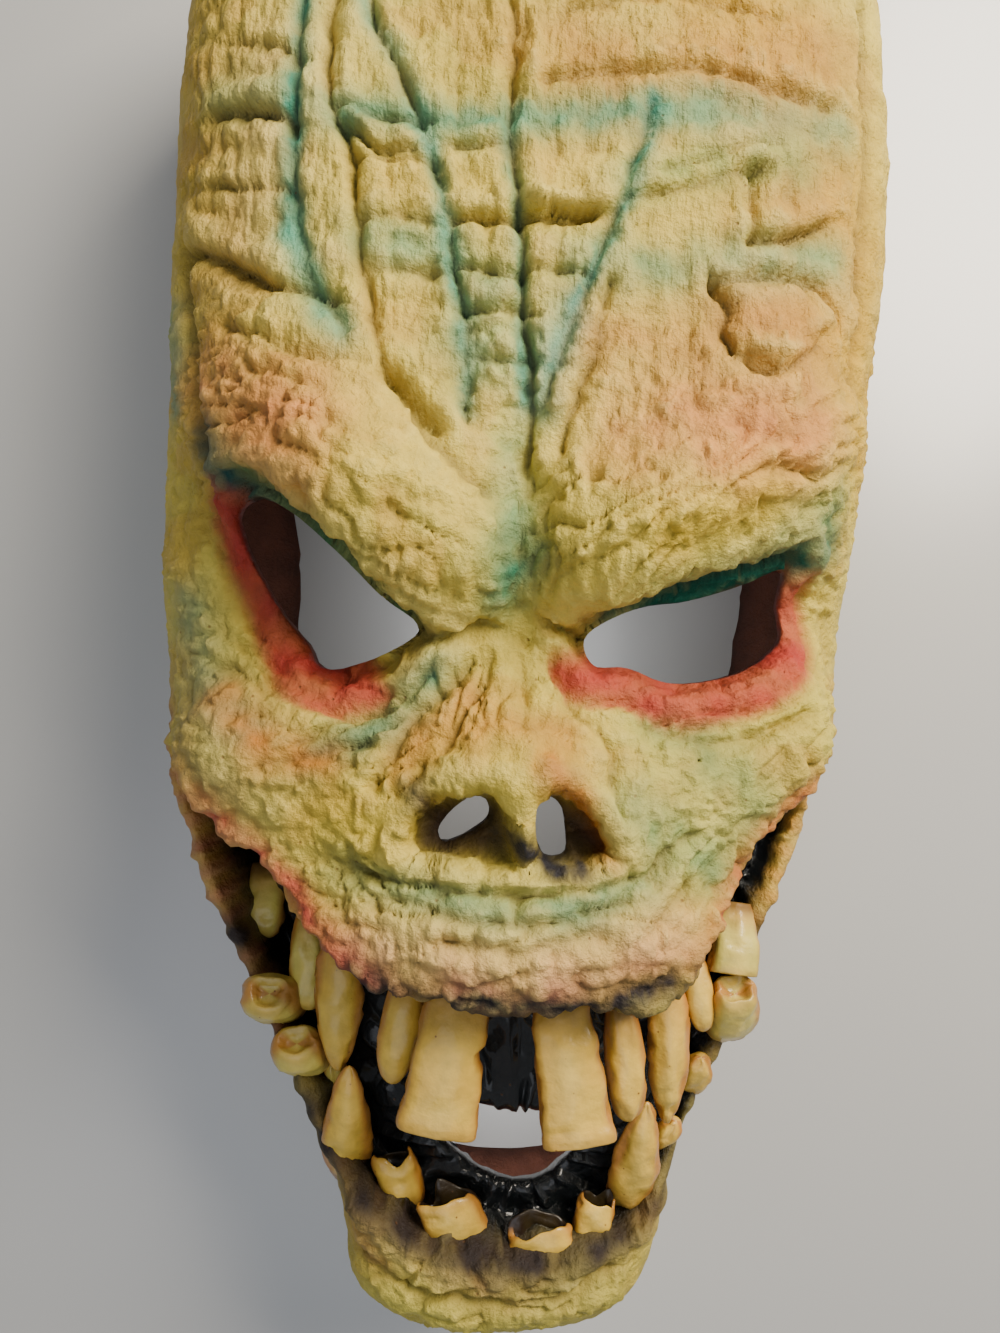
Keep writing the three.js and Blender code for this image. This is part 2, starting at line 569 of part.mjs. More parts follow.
function toothSolid(tooth) {
  const rings = toothRings(tooth);
  const points = [...rings.flat(), middleOf(rings[0]), middleOf(rings.at(-1))];
  const rootMiddle = points.length - 2;
  const tipMiddle = points.length - 1;
  const lastRing = (rings.length - 1) * TOOTH_SIDES;
  const triangles = [];
  for (let k = 0; k < TOOTH_SIDES; k++) {
    const next = (k + 1) % TOOTH_SIDES;
    for (let r = 0; r < lastRing; r += TOOTH_SIDES) {
      triangles.push(r + k, r + next, r + next + TOOTH_SIDES);
      triangles.push(r + k, r + next + TOOTH_SIDES, r + k + TOOTH_SIDES);
    }
    triangles.push(rootMiddle, next, k);
    triangles.push(tipMiddle, lastRing + k, lastRing + next);
  }
  // a section that runs clockwise seen from the tip gives faces that look inwards
  const turned = new THREE.Vector3().crossVectors(
    rings[0][0].clone().sub(points[rootMiddle]), rings[0][1].clone().sub(points[rootMiddle]),
  ).dot(points[tipMiddle].clone().sub(points[rootMiddle])) < 0;
  return solidOf(points.flatMap((p) => [p.x, p.y, p.z]), turned ? triangles.reverse() : triangles);
}

function largestPiece(solid) {
  return solid.decompose().reduce((best, piece) => (piece.volume() > best.volume() ? piece : best));
}

// Materials

function airbrushedLatex() {
  return new THREE.MeshStandardMaterial({ color: 0xcfb56c, roughness: 0.62, metalness: 0 });
}

function glossyTooth() {
  return new THREE.MeshStandardMaterial({ color: 0xd9bb62, roughness: 0.38, metalness: 0 });
}

function named(name, solid, material) {
  const mesh = new THREE.Mesh(geometryOf(solid), material);
  mesh.name = name;
  return mesh;
}

// Assembly

const mask = new THREE.Group();
mask.add(named("mask_skin", skinSolid(), airbrushedLatex()));

const seat = seatSolid();
for (const tooth of TEETH) {
  mask.add(named(tooth.name, largestPiece(toothSolid(tooth).subtract(seat)), glossyTooth()));
}

export default mask;
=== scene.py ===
"""A latex demon mask lying face up on a pale table: its looks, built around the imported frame."""

import bpy
import numpy as np
from mathutils.kdtree import KDTree
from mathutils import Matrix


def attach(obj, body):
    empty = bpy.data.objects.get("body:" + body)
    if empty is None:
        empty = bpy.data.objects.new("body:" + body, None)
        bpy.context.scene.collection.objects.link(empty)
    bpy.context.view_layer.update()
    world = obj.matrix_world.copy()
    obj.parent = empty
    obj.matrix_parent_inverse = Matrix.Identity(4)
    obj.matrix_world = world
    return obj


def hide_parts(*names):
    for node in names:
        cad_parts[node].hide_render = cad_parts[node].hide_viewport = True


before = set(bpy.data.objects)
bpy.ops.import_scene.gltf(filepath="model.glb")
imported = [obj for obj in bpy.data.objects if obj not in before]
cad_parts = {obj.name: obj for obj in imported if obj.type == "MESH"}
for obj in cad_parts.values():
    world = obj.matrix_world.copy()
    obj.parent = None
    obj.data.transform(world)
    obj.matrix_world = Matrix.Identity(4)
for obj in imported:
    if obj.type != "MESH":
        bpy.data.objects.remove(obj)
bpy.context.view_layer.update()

# The skin, plain form. The real mask is natural latex, slush-cast in one piece in a plaster
# mould: a hollow shell about 2.6 mm thick, open at the back, with every fold cast in.
# Lengths are in millimetres until the mesh is made; x, y and z are the frame's own axes.

MASK_WIDTH = 218
MASK_LENGTH = 457
FRONT_HEIGHT = 130
HALF_WIDTH = MASK_WIDTH / 2
HALF_LENGTH = MASK_LENGTH / 2
HALF_SIZE = np.array([HALF_WIDTH, HALF_LENGTH])

# Widest outline from the crown clockwise: x of the half width, y of the half length
OUTLINE = [
    (0.05, 1.0), (0.47, 0.985), (0.79, 0.93), (0.95, 0.83), (0.995, 0.61), (0.995, 0.4),
    (0.94, 0.18), (0.91, -0.03), (0.86, -0.17), (0.785, -0.28), (0.7, -0.4), (0.61, -0.49),
    (0.55, -0.59), (0.47, -0.69), (0.4, -0.79), (0.37, -0.87), (0.3, -0.94), (0.18, -0.985),
    (-0.06, -1.0), (-0.31, -0.985), (-0.45, -0.93), (-0.49, -0.85), (-0.53, -0.76),
    (-0.62, -0.65), (-0.7, -0.56), (-0.79, -0.46), (-0.89, -0.37), (-0.95, -0.27),
    (-0.99, -0.15), (-1.005, -0.02), (-0.98, 0.2), (-0.96, 0.4), (-0.94, 0.61),
    (-0.88, 0.83), (-0.72, 0.93), (-0.39, 0.985),
]

# Front along the middle: y of the half length, z of the front height
PROFILE = [
    (-1.0, 0.77), (-0.93, 0.8), (-0.87, 0.79), (-0.8, 0.8), (-0.66, 0.94), (-0.55, 1.01),
    (-0.48, 1.03), (-0.42, 1.045), (-0.35, 1.015), (-0.25, 1.03), (-0.19, 0.99),
    (-0.08, 0.93), (0.0, 0.985), (0.11, 1.01), (0.27, 1.0), (0.45, 0.98), (0.64, 0.93),
    (0.83, 0.86), (1.0, 0.77),
]

# Brows, sockets, nose, cheeks, muzzle and chin: centre as shares, half axes of the half width,
# turn in degrees, rise of the front height
FORMS = [
    (-0.53, 0.16, 0.25, 0.2, -38, 0.09), (-0.28, 0.045, 0.27, 0.15, -38, 0.12),
    (0.21, 0.03, 0.22, 0.14, 22, 0.12), (0.52, 0.12, 0.27, 0.19, 25, 0.11),
    (-0.01, 0.055, 0.25, 0.065, 90, -0.04), (-0.55, -0.06, 0.27, 0.11, -40, -0.09),
    (0.46, -0.075, 0.29, 0.11, 10, -0.09), (-0.03, -0.225, 0.18, 0.16, 90, 0.06),
    (-0.04, -0.3, 0.27, 0.08, 0, 0.04), (-0.73, -0.21, 0.15, 0.14, 60, 0.06),
    (0.66, -0.2, 0.15, 0.13, 60, 0.06), (-0.05, -0.41, 0.39, 0.15, 0, 0.05),
    (0.57, 0.25, 0.14, 0.09, 8, 0.035), (-0.07, -0.9, 0.31, 0.11, 0, 0.04),
]

MOUTH = [
    (-0.85, -0.232), (-0.79, -0.283), (-0.68, -0.335), (-0.55, -0.383), (-0.45, -0.433),
    (-0.34, -0.472), (-0.22, -0.48), (-0.05, -0.491), (0.12, -0.485), (0.27, -0.494),
    (0.38, -0.46), (0.44, -0.417), (0.51, -0.368), (0.6, -0.322), (0.7, -0.285),
    (0.68, -0.35), (0.61, -0.44), (0.555, -0.534), (0.49, -0.65), (0.4, -0.76), (0.31, -0.82),
    (0.17, -0.84), (-0.05, -0.845), (-0.27, -0.825), (-0.42, -0.78), (-0.52, -0.71),
    (-0.61, -0.61), (-0.69, -0.51), (-0.79, -0.385), (-0.86, -0.28),
]

NOSE_CAVITY = [
    (-0.27, -0.3), (-0.22, -0.265), (-0.1, -0.25), (0.0, -0.262), (0.08, -0.25),
    (0.16, -0.28), (0.19, -0.325), (0.09, -0.34), (-0.04, -0.34), (-0.15, -0.33),
    (-0.25, -0.33),
]


def smooth(t):
    s = np.clip(t, 0, 1)
    return s * s * (3 - 2 * s)


def bell(t):
    return np.exp(-t**2)


def turned(dx, dy, degrees):
    """Offsets along and across an axis turned anticlockwise by some degrees."""
    c, s = np.cos(np.radians(degrees)), np.sin(np.radians(degrees))
    return dx * c + dy * s, dy * c - dx * s


def catmull_rom(a, b, c, d, steps):
    """Rows of points on the curve from b to c, with a before them and d after."""
    t = (np.arange(steps) / steps)[None, :, None]
    curve = b + t * (c - a) / 2 + t**2 * (a - 2.5 * b + 2 * c - d / 2)
    return (curve + t**3 * (3 * (b - c) + d - a) / 2).reshape(-1, 2)


def closed_curve(points, steps):
    rows = np.array(points, float)
    return catmull_rom(*(np.roll(rows, k, axis=0)[:, None] for k in (1, 0, -1, -2)), steps)


outline = closed_curve(np.array(OUTLINE) * HALF_SIZE, 8)
outline_angle = np.arctan2(outline[:, 1], outline[:, 0])
outline_radius = np.hypot(outline[:, 0], outline[:, 1])
mouth_edge = closed_curve(np.array(MOUTH) * HALF_SIZE, 3)
nose_edge = closed_curve(np.array(NOSE_CAVITY) * HALF_SIZE, 3)


def profile_height(y):
    rows, heights = np.array(PROFILE).T
    share = np.clip(y / HALF_LENGTH, -1, 1)
    i = np.clip(np.searchsorted(rows, share), 1, len(rows) - 1)
    before, after = np.maximum(i - 2, 0), np.minimum(i + 1, len(rows) - 1)
    span = rows[i] - rows[i - 1]
    t = (share - rows[i - 1]) / span
    slope_in = (heights[i] - heights[before]) / (rows[i] - rows[before]) * span
    slope_out = (heights[after] - heights[i - 1]) / (rows[after] - rows[i - 1]) * span
    rise = heights[i - 1] + (heights[i] - heights[i - 1]) * smooth(t)
    return (rise + slope_in * t * (1 - t) ** 2 - slope_out * t**2 * (1 - t)) * FRONT_HEIGHT


BULGE_HEIGHT = 50  # of the widest outline above the table
FRONT_SHARE = 0.88  # of the sheet; the rest is the flank, down to the rear rim
ROUNDNESS_ACROSS = 2.6
ROUNDNESS_ENDWISE = 4.5
RIM_SHARE = 0.87  # of the widest outline
TEMPLE_RIM_SHARE = 0.77  # the left temple is tucked in
CHIN_RIM_SHARE = 0.925
RIM_BLEND = 8


def plain_form(u, v):
    """Points of the plain bowl for sheet coordinates from -1 to 1, and how far out they lie."""
    p, q = u * np.sqrt(1 - v**2 / 2), v * np.sqrt(1 - u**2 / 2)
    reach = np.minimum(1, np.hypot(p, q))
    angle = np.arctan2(q * HALF_LENGTH, p * HALF_WIDTH)
    front = np.minimum(1, reach / FRONT_SHARE)
    flank = np.maximum(0, (reach - FRONT_SHARE) / (1 - FRONT_SHARE))
    spread = front * (1 + (1 - front**5) / 5)
    leftness = np.maximum(0, -np.cos(angle)) ** RIM_BLEND
    chinness = np.maximum(0, -np.sin(angle)) ** RIM_BLEND
    rim_share = (RIM_SHARE + leftness * (TEMPLE_RIM_SHARE - RIM_SHARE)
                 + chinness * (CHIN_RIM_SHARE - RIM_SHARE))
    radius = spread * (1 - (1 - rim_share) * flank**2)
    radius = radius * np.interp(angle, outline_angle, outline_radius, period=2 * np.pi)
    x, y = radius * np.cos(angle), radius * np.sin(angle)
    endwise = (q / np.maximum(reach, 1e-6)) ** 2
    roundness = ROUNDNESS_ACROSS + (ROUNDNESS_ENDWISE - ROUNDNESS_ACROSS) * endwise
    crown = np.maximum(0, 1 - spread**roundness) ** (1 / roundness)
    z = np.where(flank > 0, BULGE_HEIGHT * (1 - flank),
                 BULGE_HEIGHT + (profile_height(y) - BULGE_HEIGHT) * crown)
    return np.stack([x, y, z], axis=-1), flank, spread


def form_rise(x, y):
    rise = np.zeros_like(x)
    for centre_x, centre_y, long, short, turn, height in FORMS:
        along, across = turned(x - centre_x * HALF_WIDTH, y - centre_y * HALF_LENGTH, turn)
        along, across = along / (long * HALF_WIDTH), across / (short * HALF_WIDTH)
        rise += height * FRONT_HEIGHT * np.exp(-((along**2 + across**2) ** 1.3))
    return rise


GUM_HEIGHT = 107  # at the middle of the upper lip, and falling towards the chin and the sides
GUM_FALL = 0.34
GUM_ARCH = 0.84
UPPER_LIP = -0.49


def gum_height(x, y):
    fall = (UPPER_LIP * HALF_LENGTH - y) * GUM_FALL
    return GUM_HEIGHT - fall - GUM_ARCH * GUM_HEIGHT * (x / HALF_WIDTH) ** 2


def distance_to(path, x, y):
    return np.abs(side_of(path, x, y))


def side_of(path, x, y):
    """Distance to a route, negative on the right of its direction."""
    nearest = np.full(x.shape, np.inf)
    for (ax, ay), (bx, by) in zip(path, path[1:]):
        dx, dy = bx - ax, by - ay
        t = np.clip(((x - ax) * dx + (y - ay) * dy) / (dx * dx + dy * dy), 0, 1)
        away = np.hypot(x - ax - t * dx, y - ay - t * dy)
        away = np.where((y - ay) * dx - (x - ax) * dy < 0, -away, away)
        nearest = np.where(np.abs(away) < np.abs(nearest), away, nearest)
    return nearest


def inset_from(edge, x, y):
    """Distance into a closed edge: positive inside, negative outside."""
    inside = np.zeros(x.shape, bool)
    for (ax, ay), (bx, by) in zip(edge, np.roll(edge, -1, axis=0)):
        if ay != by:
            inside ^= ((ay > y) != (by > y)) & (x < ax + (y - ay) / (by - ay) * (bx - ax))
    nearest = distance_to(np.vstack([edge, edge[:1]]), x, y)
    return np.where(inside, nearest, -nearest)


def normals_of(points):
    padded = np.pad(points, ((1, 1), (1, 1), (0, 0)), mode="edge")
    across = padded[1:-1, 2:] - padded[1:-1, :-2]
    along = padded[2:, 1:-1] - padded[:-2, 1:-1]
    normal = np.cross(across, along)
    outwards = points * (1, 1, 0)
    length = np.linalg.norm(normal, axis=-1, keepdims=True)
    normal = np.where(length < 1e-3, outwards, normal)
    return normal / np.linalg.norm(normal, axis=-1, keepdims=True)


LATTICE = np.random.default_rng(11).random((256, 256))


def noise(px, py, size, layer):
    """Smooth noise from 0 to 1 with lumps about size across."""
    gx, gy = px / size + 31.7 * layer, py / size + 17.9 * layer
    i, j = np.floor(gx).astype(int), np.floor(gy).astype(int)
    fx, fy = smooth(gx - i), smooth(gy - j)
    low = LATTICE[j % 256, i % 256] * (1 - fx) + LATTICE[j % 256, (i + 1) % 256] * fx
    high = LATTICE[(j + 1) % 256, i % 256] * (1 - fx) + LATTICE[(j + 1) % 256, (i + 1) % 256] * fx
    return low * (1 - fy) + high * fy


INNER_STEP = 6  # cells of the outer sheet for one of the inner
CELLS_ACROSS = 84 * INNER_STEP
CELLS_ALONG = 115 * INNER_STEP
ROW_CROWDING = 1.15  # towards the chin
u, v = np.meshgrid(np.linspace(-1, 1, CELLS_ACROSS + 1),
                   2 * np.linspace(0, 1, CELLS_ALONG + 1) ** ROW_CROWDING - 1)
plain, flank, spread = plain_form(u, v)
x, y = plain[..., 0], plain[..., 1]
skin = plain + normals_of(plain) * (form_rise(x, y) * (1 - flank))[..., None]


def wobble(size, layer):
    return noise(x, y, size, layer) - 0.5


# The lip's edge is ragged, but smooth where it turns down into the flank
mouth_inset = inset_from(mouth_edge, x, y)
mouth_inset += (4.4 * wobble(8, 45) + 2.4 * wobble(3.6, 46)) * smooth((0.88 - spread) / 0.06)
nose_inset = inset_from(nose_edge, x, y)

MOUTH_EDGE = 9  # width of the slope from the lip down to the gum
NOSE_EDGE = 5
LIP_OVERRUN = 0.3
NOSE_CAVITY_DEPTH = 7
in_mouth = smooth(mouth_inset / MOUTH_EDGE + LIP_OVERRUN) * (1 - flank)
in_nose = smooth(nose_inset / NOSE_EDGE + LIP_OVERRUN)
skin[..., 2] += in_mouth * (np.minimum(skin[..., 2], gum_height(x, y)) - skin[..., 2])
skin[..., 2] -= NOSE_CAVITY_DEPTH * in_nose

# The openings: both eyes, both nostrils and the throat, cut out of the finished casting and
# rolled in at the edge, so that the table shows through them.

# Centre as shares, width and height, turn, outline in half sizes
OPENINGS = {
    "left_eye": (-0.515, -0.04, 55, 28, -38, [
        (-1.0, 0.33), (-0.94, 0.85), (-0.53, 1.0), (0.05, 0.94), (0.58, 0.8), (0.98, 0.8),
        (1.0, 0.38), (0.78, -0.4), (0.5, -1.0), (0.2, -0.82), (-0.1, -0.7), (-0.4, -0.48),
        (-0.72, -0.15)]),
    "right_eye": (0.405, -0.078, 55, 27, 12, [
        (-1.0, 0.3), (-1.02, -0.3), (-0.7, -0.5), (-0.35, -0.95), (0.1, -1.1), (0.55, -1.0),
        (0.9, -0.6), (0.95, 0.1), (1.02, 0.75), (0.6, 0.62), (0.1, 0.55), (-0.45, 0.6)]),
    "left_nostril": (-0.142, -0.288, 8, 15, -48, [
        (0.0, 1.0), (0.9, 0.6), (0.8, -0.3), (0.3, -1.0), (-0.5, -0.95), (-0.9, -0.2),
        (-0.8, 0.7)]),
    "right_nostril": (0.053, -0.295, 8, 15, 4, [
        (0.1, 1.0), (0.8, 0.6), (1.0, -0.3), (0.8, -0.95), (-0.4, -1.0), (-0.9, -0.3),
        (-0.8, 0.8)]),
    "throat": (-0.023, -0.727, 44, 25, -6, [
        (-1.0, 0.75), (-0.6, 1.0), (0.0, 0.95), (0.55, 0.8), (1.0, 0.5), (0.8, -0.1),
        (0.5, -0.75), (0.1, -1.0), (-0.35, -0.85), (-0.8, -0.4), (-1.0, 0.0)]),
}
ROLLED_EDGE = 3.5


def opening_edge(centre_x, centre_y, width, height, turn, points):
    c, s = np.cos(np.radians(turn)), np.sin(np.radians(turn))
    local = closed_curve(np.array(points) * (width / 2, height / 2), 6)
    return local @ np.array([[c, s], [-s, c]]) + np.array([centre_x, centre_y]) * HALF_SIZE


opening_edges = {name: opening_edge(*row) for name, row in OPENINGS.items()}
outside = {name: -inset_from(edge, x, y) for name, edge in opening_edges.items()}


def bearing(name):
    """Degrees round an opening from its own right-hand end, anticlockwise, 0 to 360."""
    centre_x, centre_y, width, height, turn, _ = OPENINGS[name]
    along, across = turned(x - centre_x * HALF_WIDTH, y - centre_y * HALF_LENGTH, turn)
    return np.degrees(np.arctan2(across / height, along / width)) % 360


# The skin, relief. The sculptor's folds, lumps and wrinkles, cast from clay: deep furrows over
# the forehead, rolled lids, a bony nose, a fringed lip, and gums that hang in curtains.

def pillows(px, py, size, layer):
    """Rounded lumps with thin valleys between them, 0 in a valley."""
    return np.abs(2 * noise(px, py, size, layer) - 1) ** 0.7


bent_x = x + 3.5 * wobble(16, 1) + 1.6 * wobble(5, 2)
bent_y = y + 3.5 * wobble(16, 3) + 1.6 * wobble(5, 4)

# Furrows: depth, width, route; forehead, bridge, crown, cheeks, muzzle and chin in turn
FURROWS = [
    (1.0, 1.6, [(-78, 137), (-61, 130)]),
    (2.0, 1.9, [(-82, 117.5), (-71.5, 116), (-60, 111)]),
    (1.2, 1.6, [(-82.5, 99), (-74.5, 96.5), (-62, 94)]),
    (2.6, 2.2, [(-89, 82), (-76, 75.5), (-61.5, 69), (-52, 65), (-48, 62.5)]),
    (1.1, 1.7, [(-76, 60), (-65.5, 54.5), (-57, 50), (-48, 46.5), (-39, 45)]),
    (1.5, 1.7, [(-45.5, 109), (-36.5, 102.5), (-28, 101)]),
    (1.2, 1.6, [(-46.5, 114), (-34, 112), (-24, 110)]),
    (1.0, 1.5, [(-41.5, 101), (-26.5, 98.5), (-21.5, 97.5)]),
    (1.4, 1.7, [(-41, 83), (-33, 83.5), (-24, 81)]),
    (1.2, 1.6, [(-39, 69), (-21.5, 68)]),
    (1.2, 1.6, [(-20, 101), (-4, 103)]),
    (2.0, 1.9, [(-19, 82.5), (-4, 82), (11, 83.5), (19, 85)]),
    (2.2, 1.1, [(5, 85), (16, 85)]),
    (1.3, 1.6, [(-17, 70), (-1.5, 68.5)]),
    (1.3, 1.6, [(-15, 59.5), (1, 58.5)]),
    (1.0, 1.4, [(-14, 48.5), (-1.5, 46)]),
    (0.9, 1.3, [(-9, 41), (-1.5, 40)]),
    (0.9, 1.3, [(-7, 36), (-1.5, 35.5)]),
    (1.3, 1.6, [(-1, 70.5), (15, 70)]),
    (1.4, 1.8, [(27, 87.5), (36, 90), (49.5, 95), (60.5, 98)]),
    (1.0, 1.6, [(36, 95.5), (49.5, 100), (62, 104.5)]),
    (2.2, 1.9, [(58, 80.5), (70, 82.5), (79, 86.5)]),
    (1.4, 1.7, [(58.5, 97), (58, 80.5)]),
    (1.4, 1.8, [(48, 68), (63.5, 71.5), (74, 69), (78, 62)]),
    (1.9, 1.8, [(48, 68), (51, 60), (47, 54), (48, 47.5), (55, 45.5), (64, 49), (72.5, 55.5)]),
    (1.2, 2.2, [(-48, 200), (-54, 176), (-57.5, 141), (-58, 126), (-59.5, 111), (-60, 96),
                (-59, 81), (-53.5, 68.5), (-48, 59), (-44, 52.5)]),
    (1.8, 1.9, [(-46, 170), (-50, 140), (-50.5, 121), (-48, 110.5), (-43, 100), (-42.5, 85),
                (-41.5, 68.5), (-39, 57.5), (-33, 45), (-26.5, 35), (-21.5, 28.5)]),
    (1.5, 1.9, [(-45, 175), (-42, 150), (-39, 136), (-31.5, 125), (-28, 113.5), (-24, 102.5),
                (-21.5, 92.5), (-20, 82.5), (-18.5, 68.5), (-15.5, 58.5), (-14, 46),
                (-15.5, 32.5)]),
    (2.0, 1.8, [(-5, 205), (-3, 170), (-3, 139), (-3, 121), (-3.5, 107.5), (-3, 95), (-3, 82.5),
                (-1.5, 68.5), (-1, 58.5), (-0.5, 46), (0.5, 32.5), (-0.5, 22.5)]),
    (1.0, 1.5, [(0, 139), (-1, 130)]),
    (1.3, 1.9, [(33, 115), (30, 102.5), (25.5, 88.5), (18.5, 73.5), (11, 57.5), (5, 43.5),
                (3.5, 36)]),
    (1.6, 1.9, [(22, 67.5), (17.5, 55), (13.5, 41), (7.5, 26)]),
    (1.8, 2.6, [(-32, 42), (-23.5, 26.5), (-14, 17), (-9, 14.5)]),
    (2.2, 2.6, [(-92, 86), (-90.5, 66), (-85, 45), (-79, 30)]),
    (1.6, 2.2, [(-39, -12), (-26, -20.5), (-16, -19), (-9, -17)]),
    (1.6, 2.2, [(7, -15), (16, -20), (22, -19)]),
    (1.1, 1.6, [(-77, 181), (-40, 186), (0, 188), (40, 184), (76, 176)]),
    (1.1, 1.6, [(-82, 160), (-55, 164), (-10, 163), (30, 160), (70, 158)]),
    (1.0, 1.6, [(10, 141), (40, 146), (66, 140)]),
    (1.2, 1.6, [(5, 121), (30, 125), (60, 121), (80, 119)]),
    (1.6, 2.4, [(93, 150), (92.5, 110), (90, 70), (86, 40)]),
    (1.1, 1.7, [(-14, -26), (-21, -33), (-30, -42), (-38, -56)]),
    (1.0, 1.6, [(-9, -26), (-13, -36), (-20, -48)]),
    (1.0, 1.6, [(6, -27), (12, -38), (20, -50), (24, -64)]),
    (1.2, 1.8, [(-58, -47), (-46, -41), (-34, -36), (-24, -29)]),
    (1.1, 1.8, [(-66, -54), (-52, -50), (-40, -46)]),
    (1.0, 1.8, [(28, -42), (44, -46), (58, -46), (70, -40)]),
    (1.2, 1.9, [(-45, -76), (-30, -80), (-10, -83), (10, -83), (30, -78), (42, -70)]),
    (1.1, 1.6, [(-36, -84), (-16, -88.5), (6, -89), (24, -85)]),
    (1.0, 1.6, [(-20, -93), (0, -94), (16, -92)]),
    (1.0, 1.6, [(28, -92), (38, -84), (48, -74)]),
    (1.3, 2.2, [(-46, -196), (-30, -203), (-10, -206), (10, -204), (24, -196)]),
]
FURROW_DEPTH = 1.3
BANK_SHARE = 0.4  # of a furrow's depth: the flesh beside it bulges
SAG_SHARE = 0.55
relief = np.zeros_like(x)
shade_in_furrows = np.zeros_like(x)
for depth, width, route in FURROWS:
    signed = side_of(route, bent_x, bent_y)
    away = np.abs(signed)
    strength = FURROW_DEPTH * depth * (0.5 + noise(x, y, 9, 5))
    level = abs(route[-1][0] - route[0][0]) > abs(route[-1][1] - route[0][1])
    relief -= strength * (0.55 * bell(away / width) + 0.75 * bell(away / (0.45 * width)))
    relief += BANK_SHARE * strength * bell((away - 2.6 * width) / (1.5 * width))
    if level:  # the flesh above a cross fold sags over it
        relief += SAG_SHARE * strength * np.tanh(signed / 0.8) * np.exp(-away / 5)
    # where painted shade is laid along the furrows
    shade_in_furrows = np.maximum(shade_in_furrows, bell(away / (0.5 * width)) * np.minimum(1, depth / 2))

# Patches of fine wrinkles: centre, half sizes, turn of the wrinkles, spacing, depth
WRINKLED = [
    (-60, 32, 28, 20, -14, 3.2, 1.3), (-36, 4, 24, 16, -30, 2.8, 1.3),
    (24, 10, 26, 18, 34, 3.3, 1.05), (58, 26, 28, 22, 22, 3.4, 1.3),
    (0, 8, 12, 18, 88, 3.0, 0.9), (-8, -32, 20, 12, 78, 3.2, 1.0),
    (-66, -30, 26, 16, -32, 3.6, 1.1), (-36, -46, 18, 14, 30, 3.4, 1.1),
    (46, -36, 28, 14, 10, 3.6, 1.1), (70, -52, 18, 16, 50, 3.8, 1.0),
    (-4, -86, 44, 12, 0, 3.4, 1.3), (46, -78, 18, 14, 46, 3.4, 1.1),
    (-42, -82, 14, 14, -40, 3.6, 1.0), (-8, -104, 40, 8, 4, 4.2, 1.0),
    (-72, 110, 18, 50, 92, 3.2, 0.4), (-10, 110, 70, 60, 90, 2.8, 0.4),
    (66, 110, 22, 50, 88, 3.4, 0.45), (-10, 60, 30, 30, 90, 3.0, 0.5),
    (-8, -208, 46, 18, 6, 4.4, 1.2), (0, 190, 90, 26, 90, 4.5, 0.6),
]
WRINKLE_DEPTH = 2.7
WRINKLE_STRETCH = 3.4  # length of a wrinkle in widths
for layer, wrinkled in enumerate(WRINKLED, 6):
    centre_x, centre_y, half_long, half_short, turn, spacing, depth = wrinkled
    dx, dy = bent_x - centre_x, bent_y - centre_y
    along, across = turned(dx, dy, turn)
    weight = np.exp(-((dx / half_long) ** 2 + (dy / half_short) ** 2) ** 1.5)
    valley = 1 - pillows(along / WRINKLE_STRETCH, across, spacing, layer)
    relief -= WRINKLE_DEPTH * depth * weight * valley**3

# Grain over the whole forehead: short cross wrinkles and long drag lines
on_front = 1 - smooth((spread - 0.9) / 0.06)
on_forehead = smooth((y - 24) / 30) * on_front
relief -= 0.55 * on_forehead * (1 - pillows(bent_x / 3.0, bent_y, 3.1, 42)) ** 3
relief -= 0.5 * on_forehead * (1 - pillows(bent_x, bent_y / 6.0, 2.0, 43)) ** 3

# Pimples and cobbles below the forehead
off_forehead = 1 - smooth((y - 55) / 25)
relief += 0.9 * off_forehead * smooth((noise(x, y, 2.3, 47) - 0.74) / 0.14)
relief += 0.8 * off_forehead * (pillows(bent_x, bent_y, 2.5, 48) - 0.5)

# Overall lumpiness, fading towards the widest outline and the gums, then pillows on the flanks
relief += 1.5 * wobble(22, 30) + 1.15 * (pillows(x, y, 8, 31) - 0.5)
relief += 1.05 * (pillows(bent_x, bent_y, 3.4, 32) - 0.5) + 0.35 * (pillows(x, y, 1.7, 44) - 0.5)
relief *= (0.15 + 0.85 * smooth((1.0 - spread) / 0.11)) * (1 - 0.85 * in_mouth)
level_z = plain[..., 2]
relief += 0.7 * smooth((spread - 0.9) / 0.08) * (pillows(x + y, level_z + y, 9, 33) - 0.5)

# Lower lids are thick rolls with creases round them; the brows overhang from above
LID_ARCS = {"left_eye": (142, 352), "right_eye": (168, 392)}
ROLL_HEIGHT, ROLL_AT, ROLL_WIDTH = 2.0, 4.2, 2.6
CREASE_DEPTH, CREASE_AT, CREASE_WIDTH = 1.6, 9.4, 1.5
lid = np.zeros_like(x)
for name, (start, end) in LID_ARCS.items():
    turn = (bearing(name) - start) % 360
    span = end - start
    on_arc = smooth(turn / 24) * smooth((span - turn) / 24) * (turn < span)
    away = outside[name] + 1.5 * wobble(7, 34)
    lid = np.maximum(lid, on_arc * smooth((13.0 - away) / 4))
    relief += on_arc * ROLL_HEIGHT * bell((away - ROLL_AT) / ROLL_WIDTH)
    relief -= on_arc * CREASE_DEPTH * bell((away - CREASE_AT) / CREASE_WIDTH)
    rings = 1 - pillows(away, turn / 14, 3.6, 35)
    relief -= on_arc * 1.3 * rings**2 * smooth((away - 9) / 3) * smooth((27 - away) / 12)
    relief += (1 - on_arc) * 2.6 * bell((away - 9) / 4.5)
    relief -= (1 - on_arc) * 3.6 * bell(away / 4.2) * (away > 0)

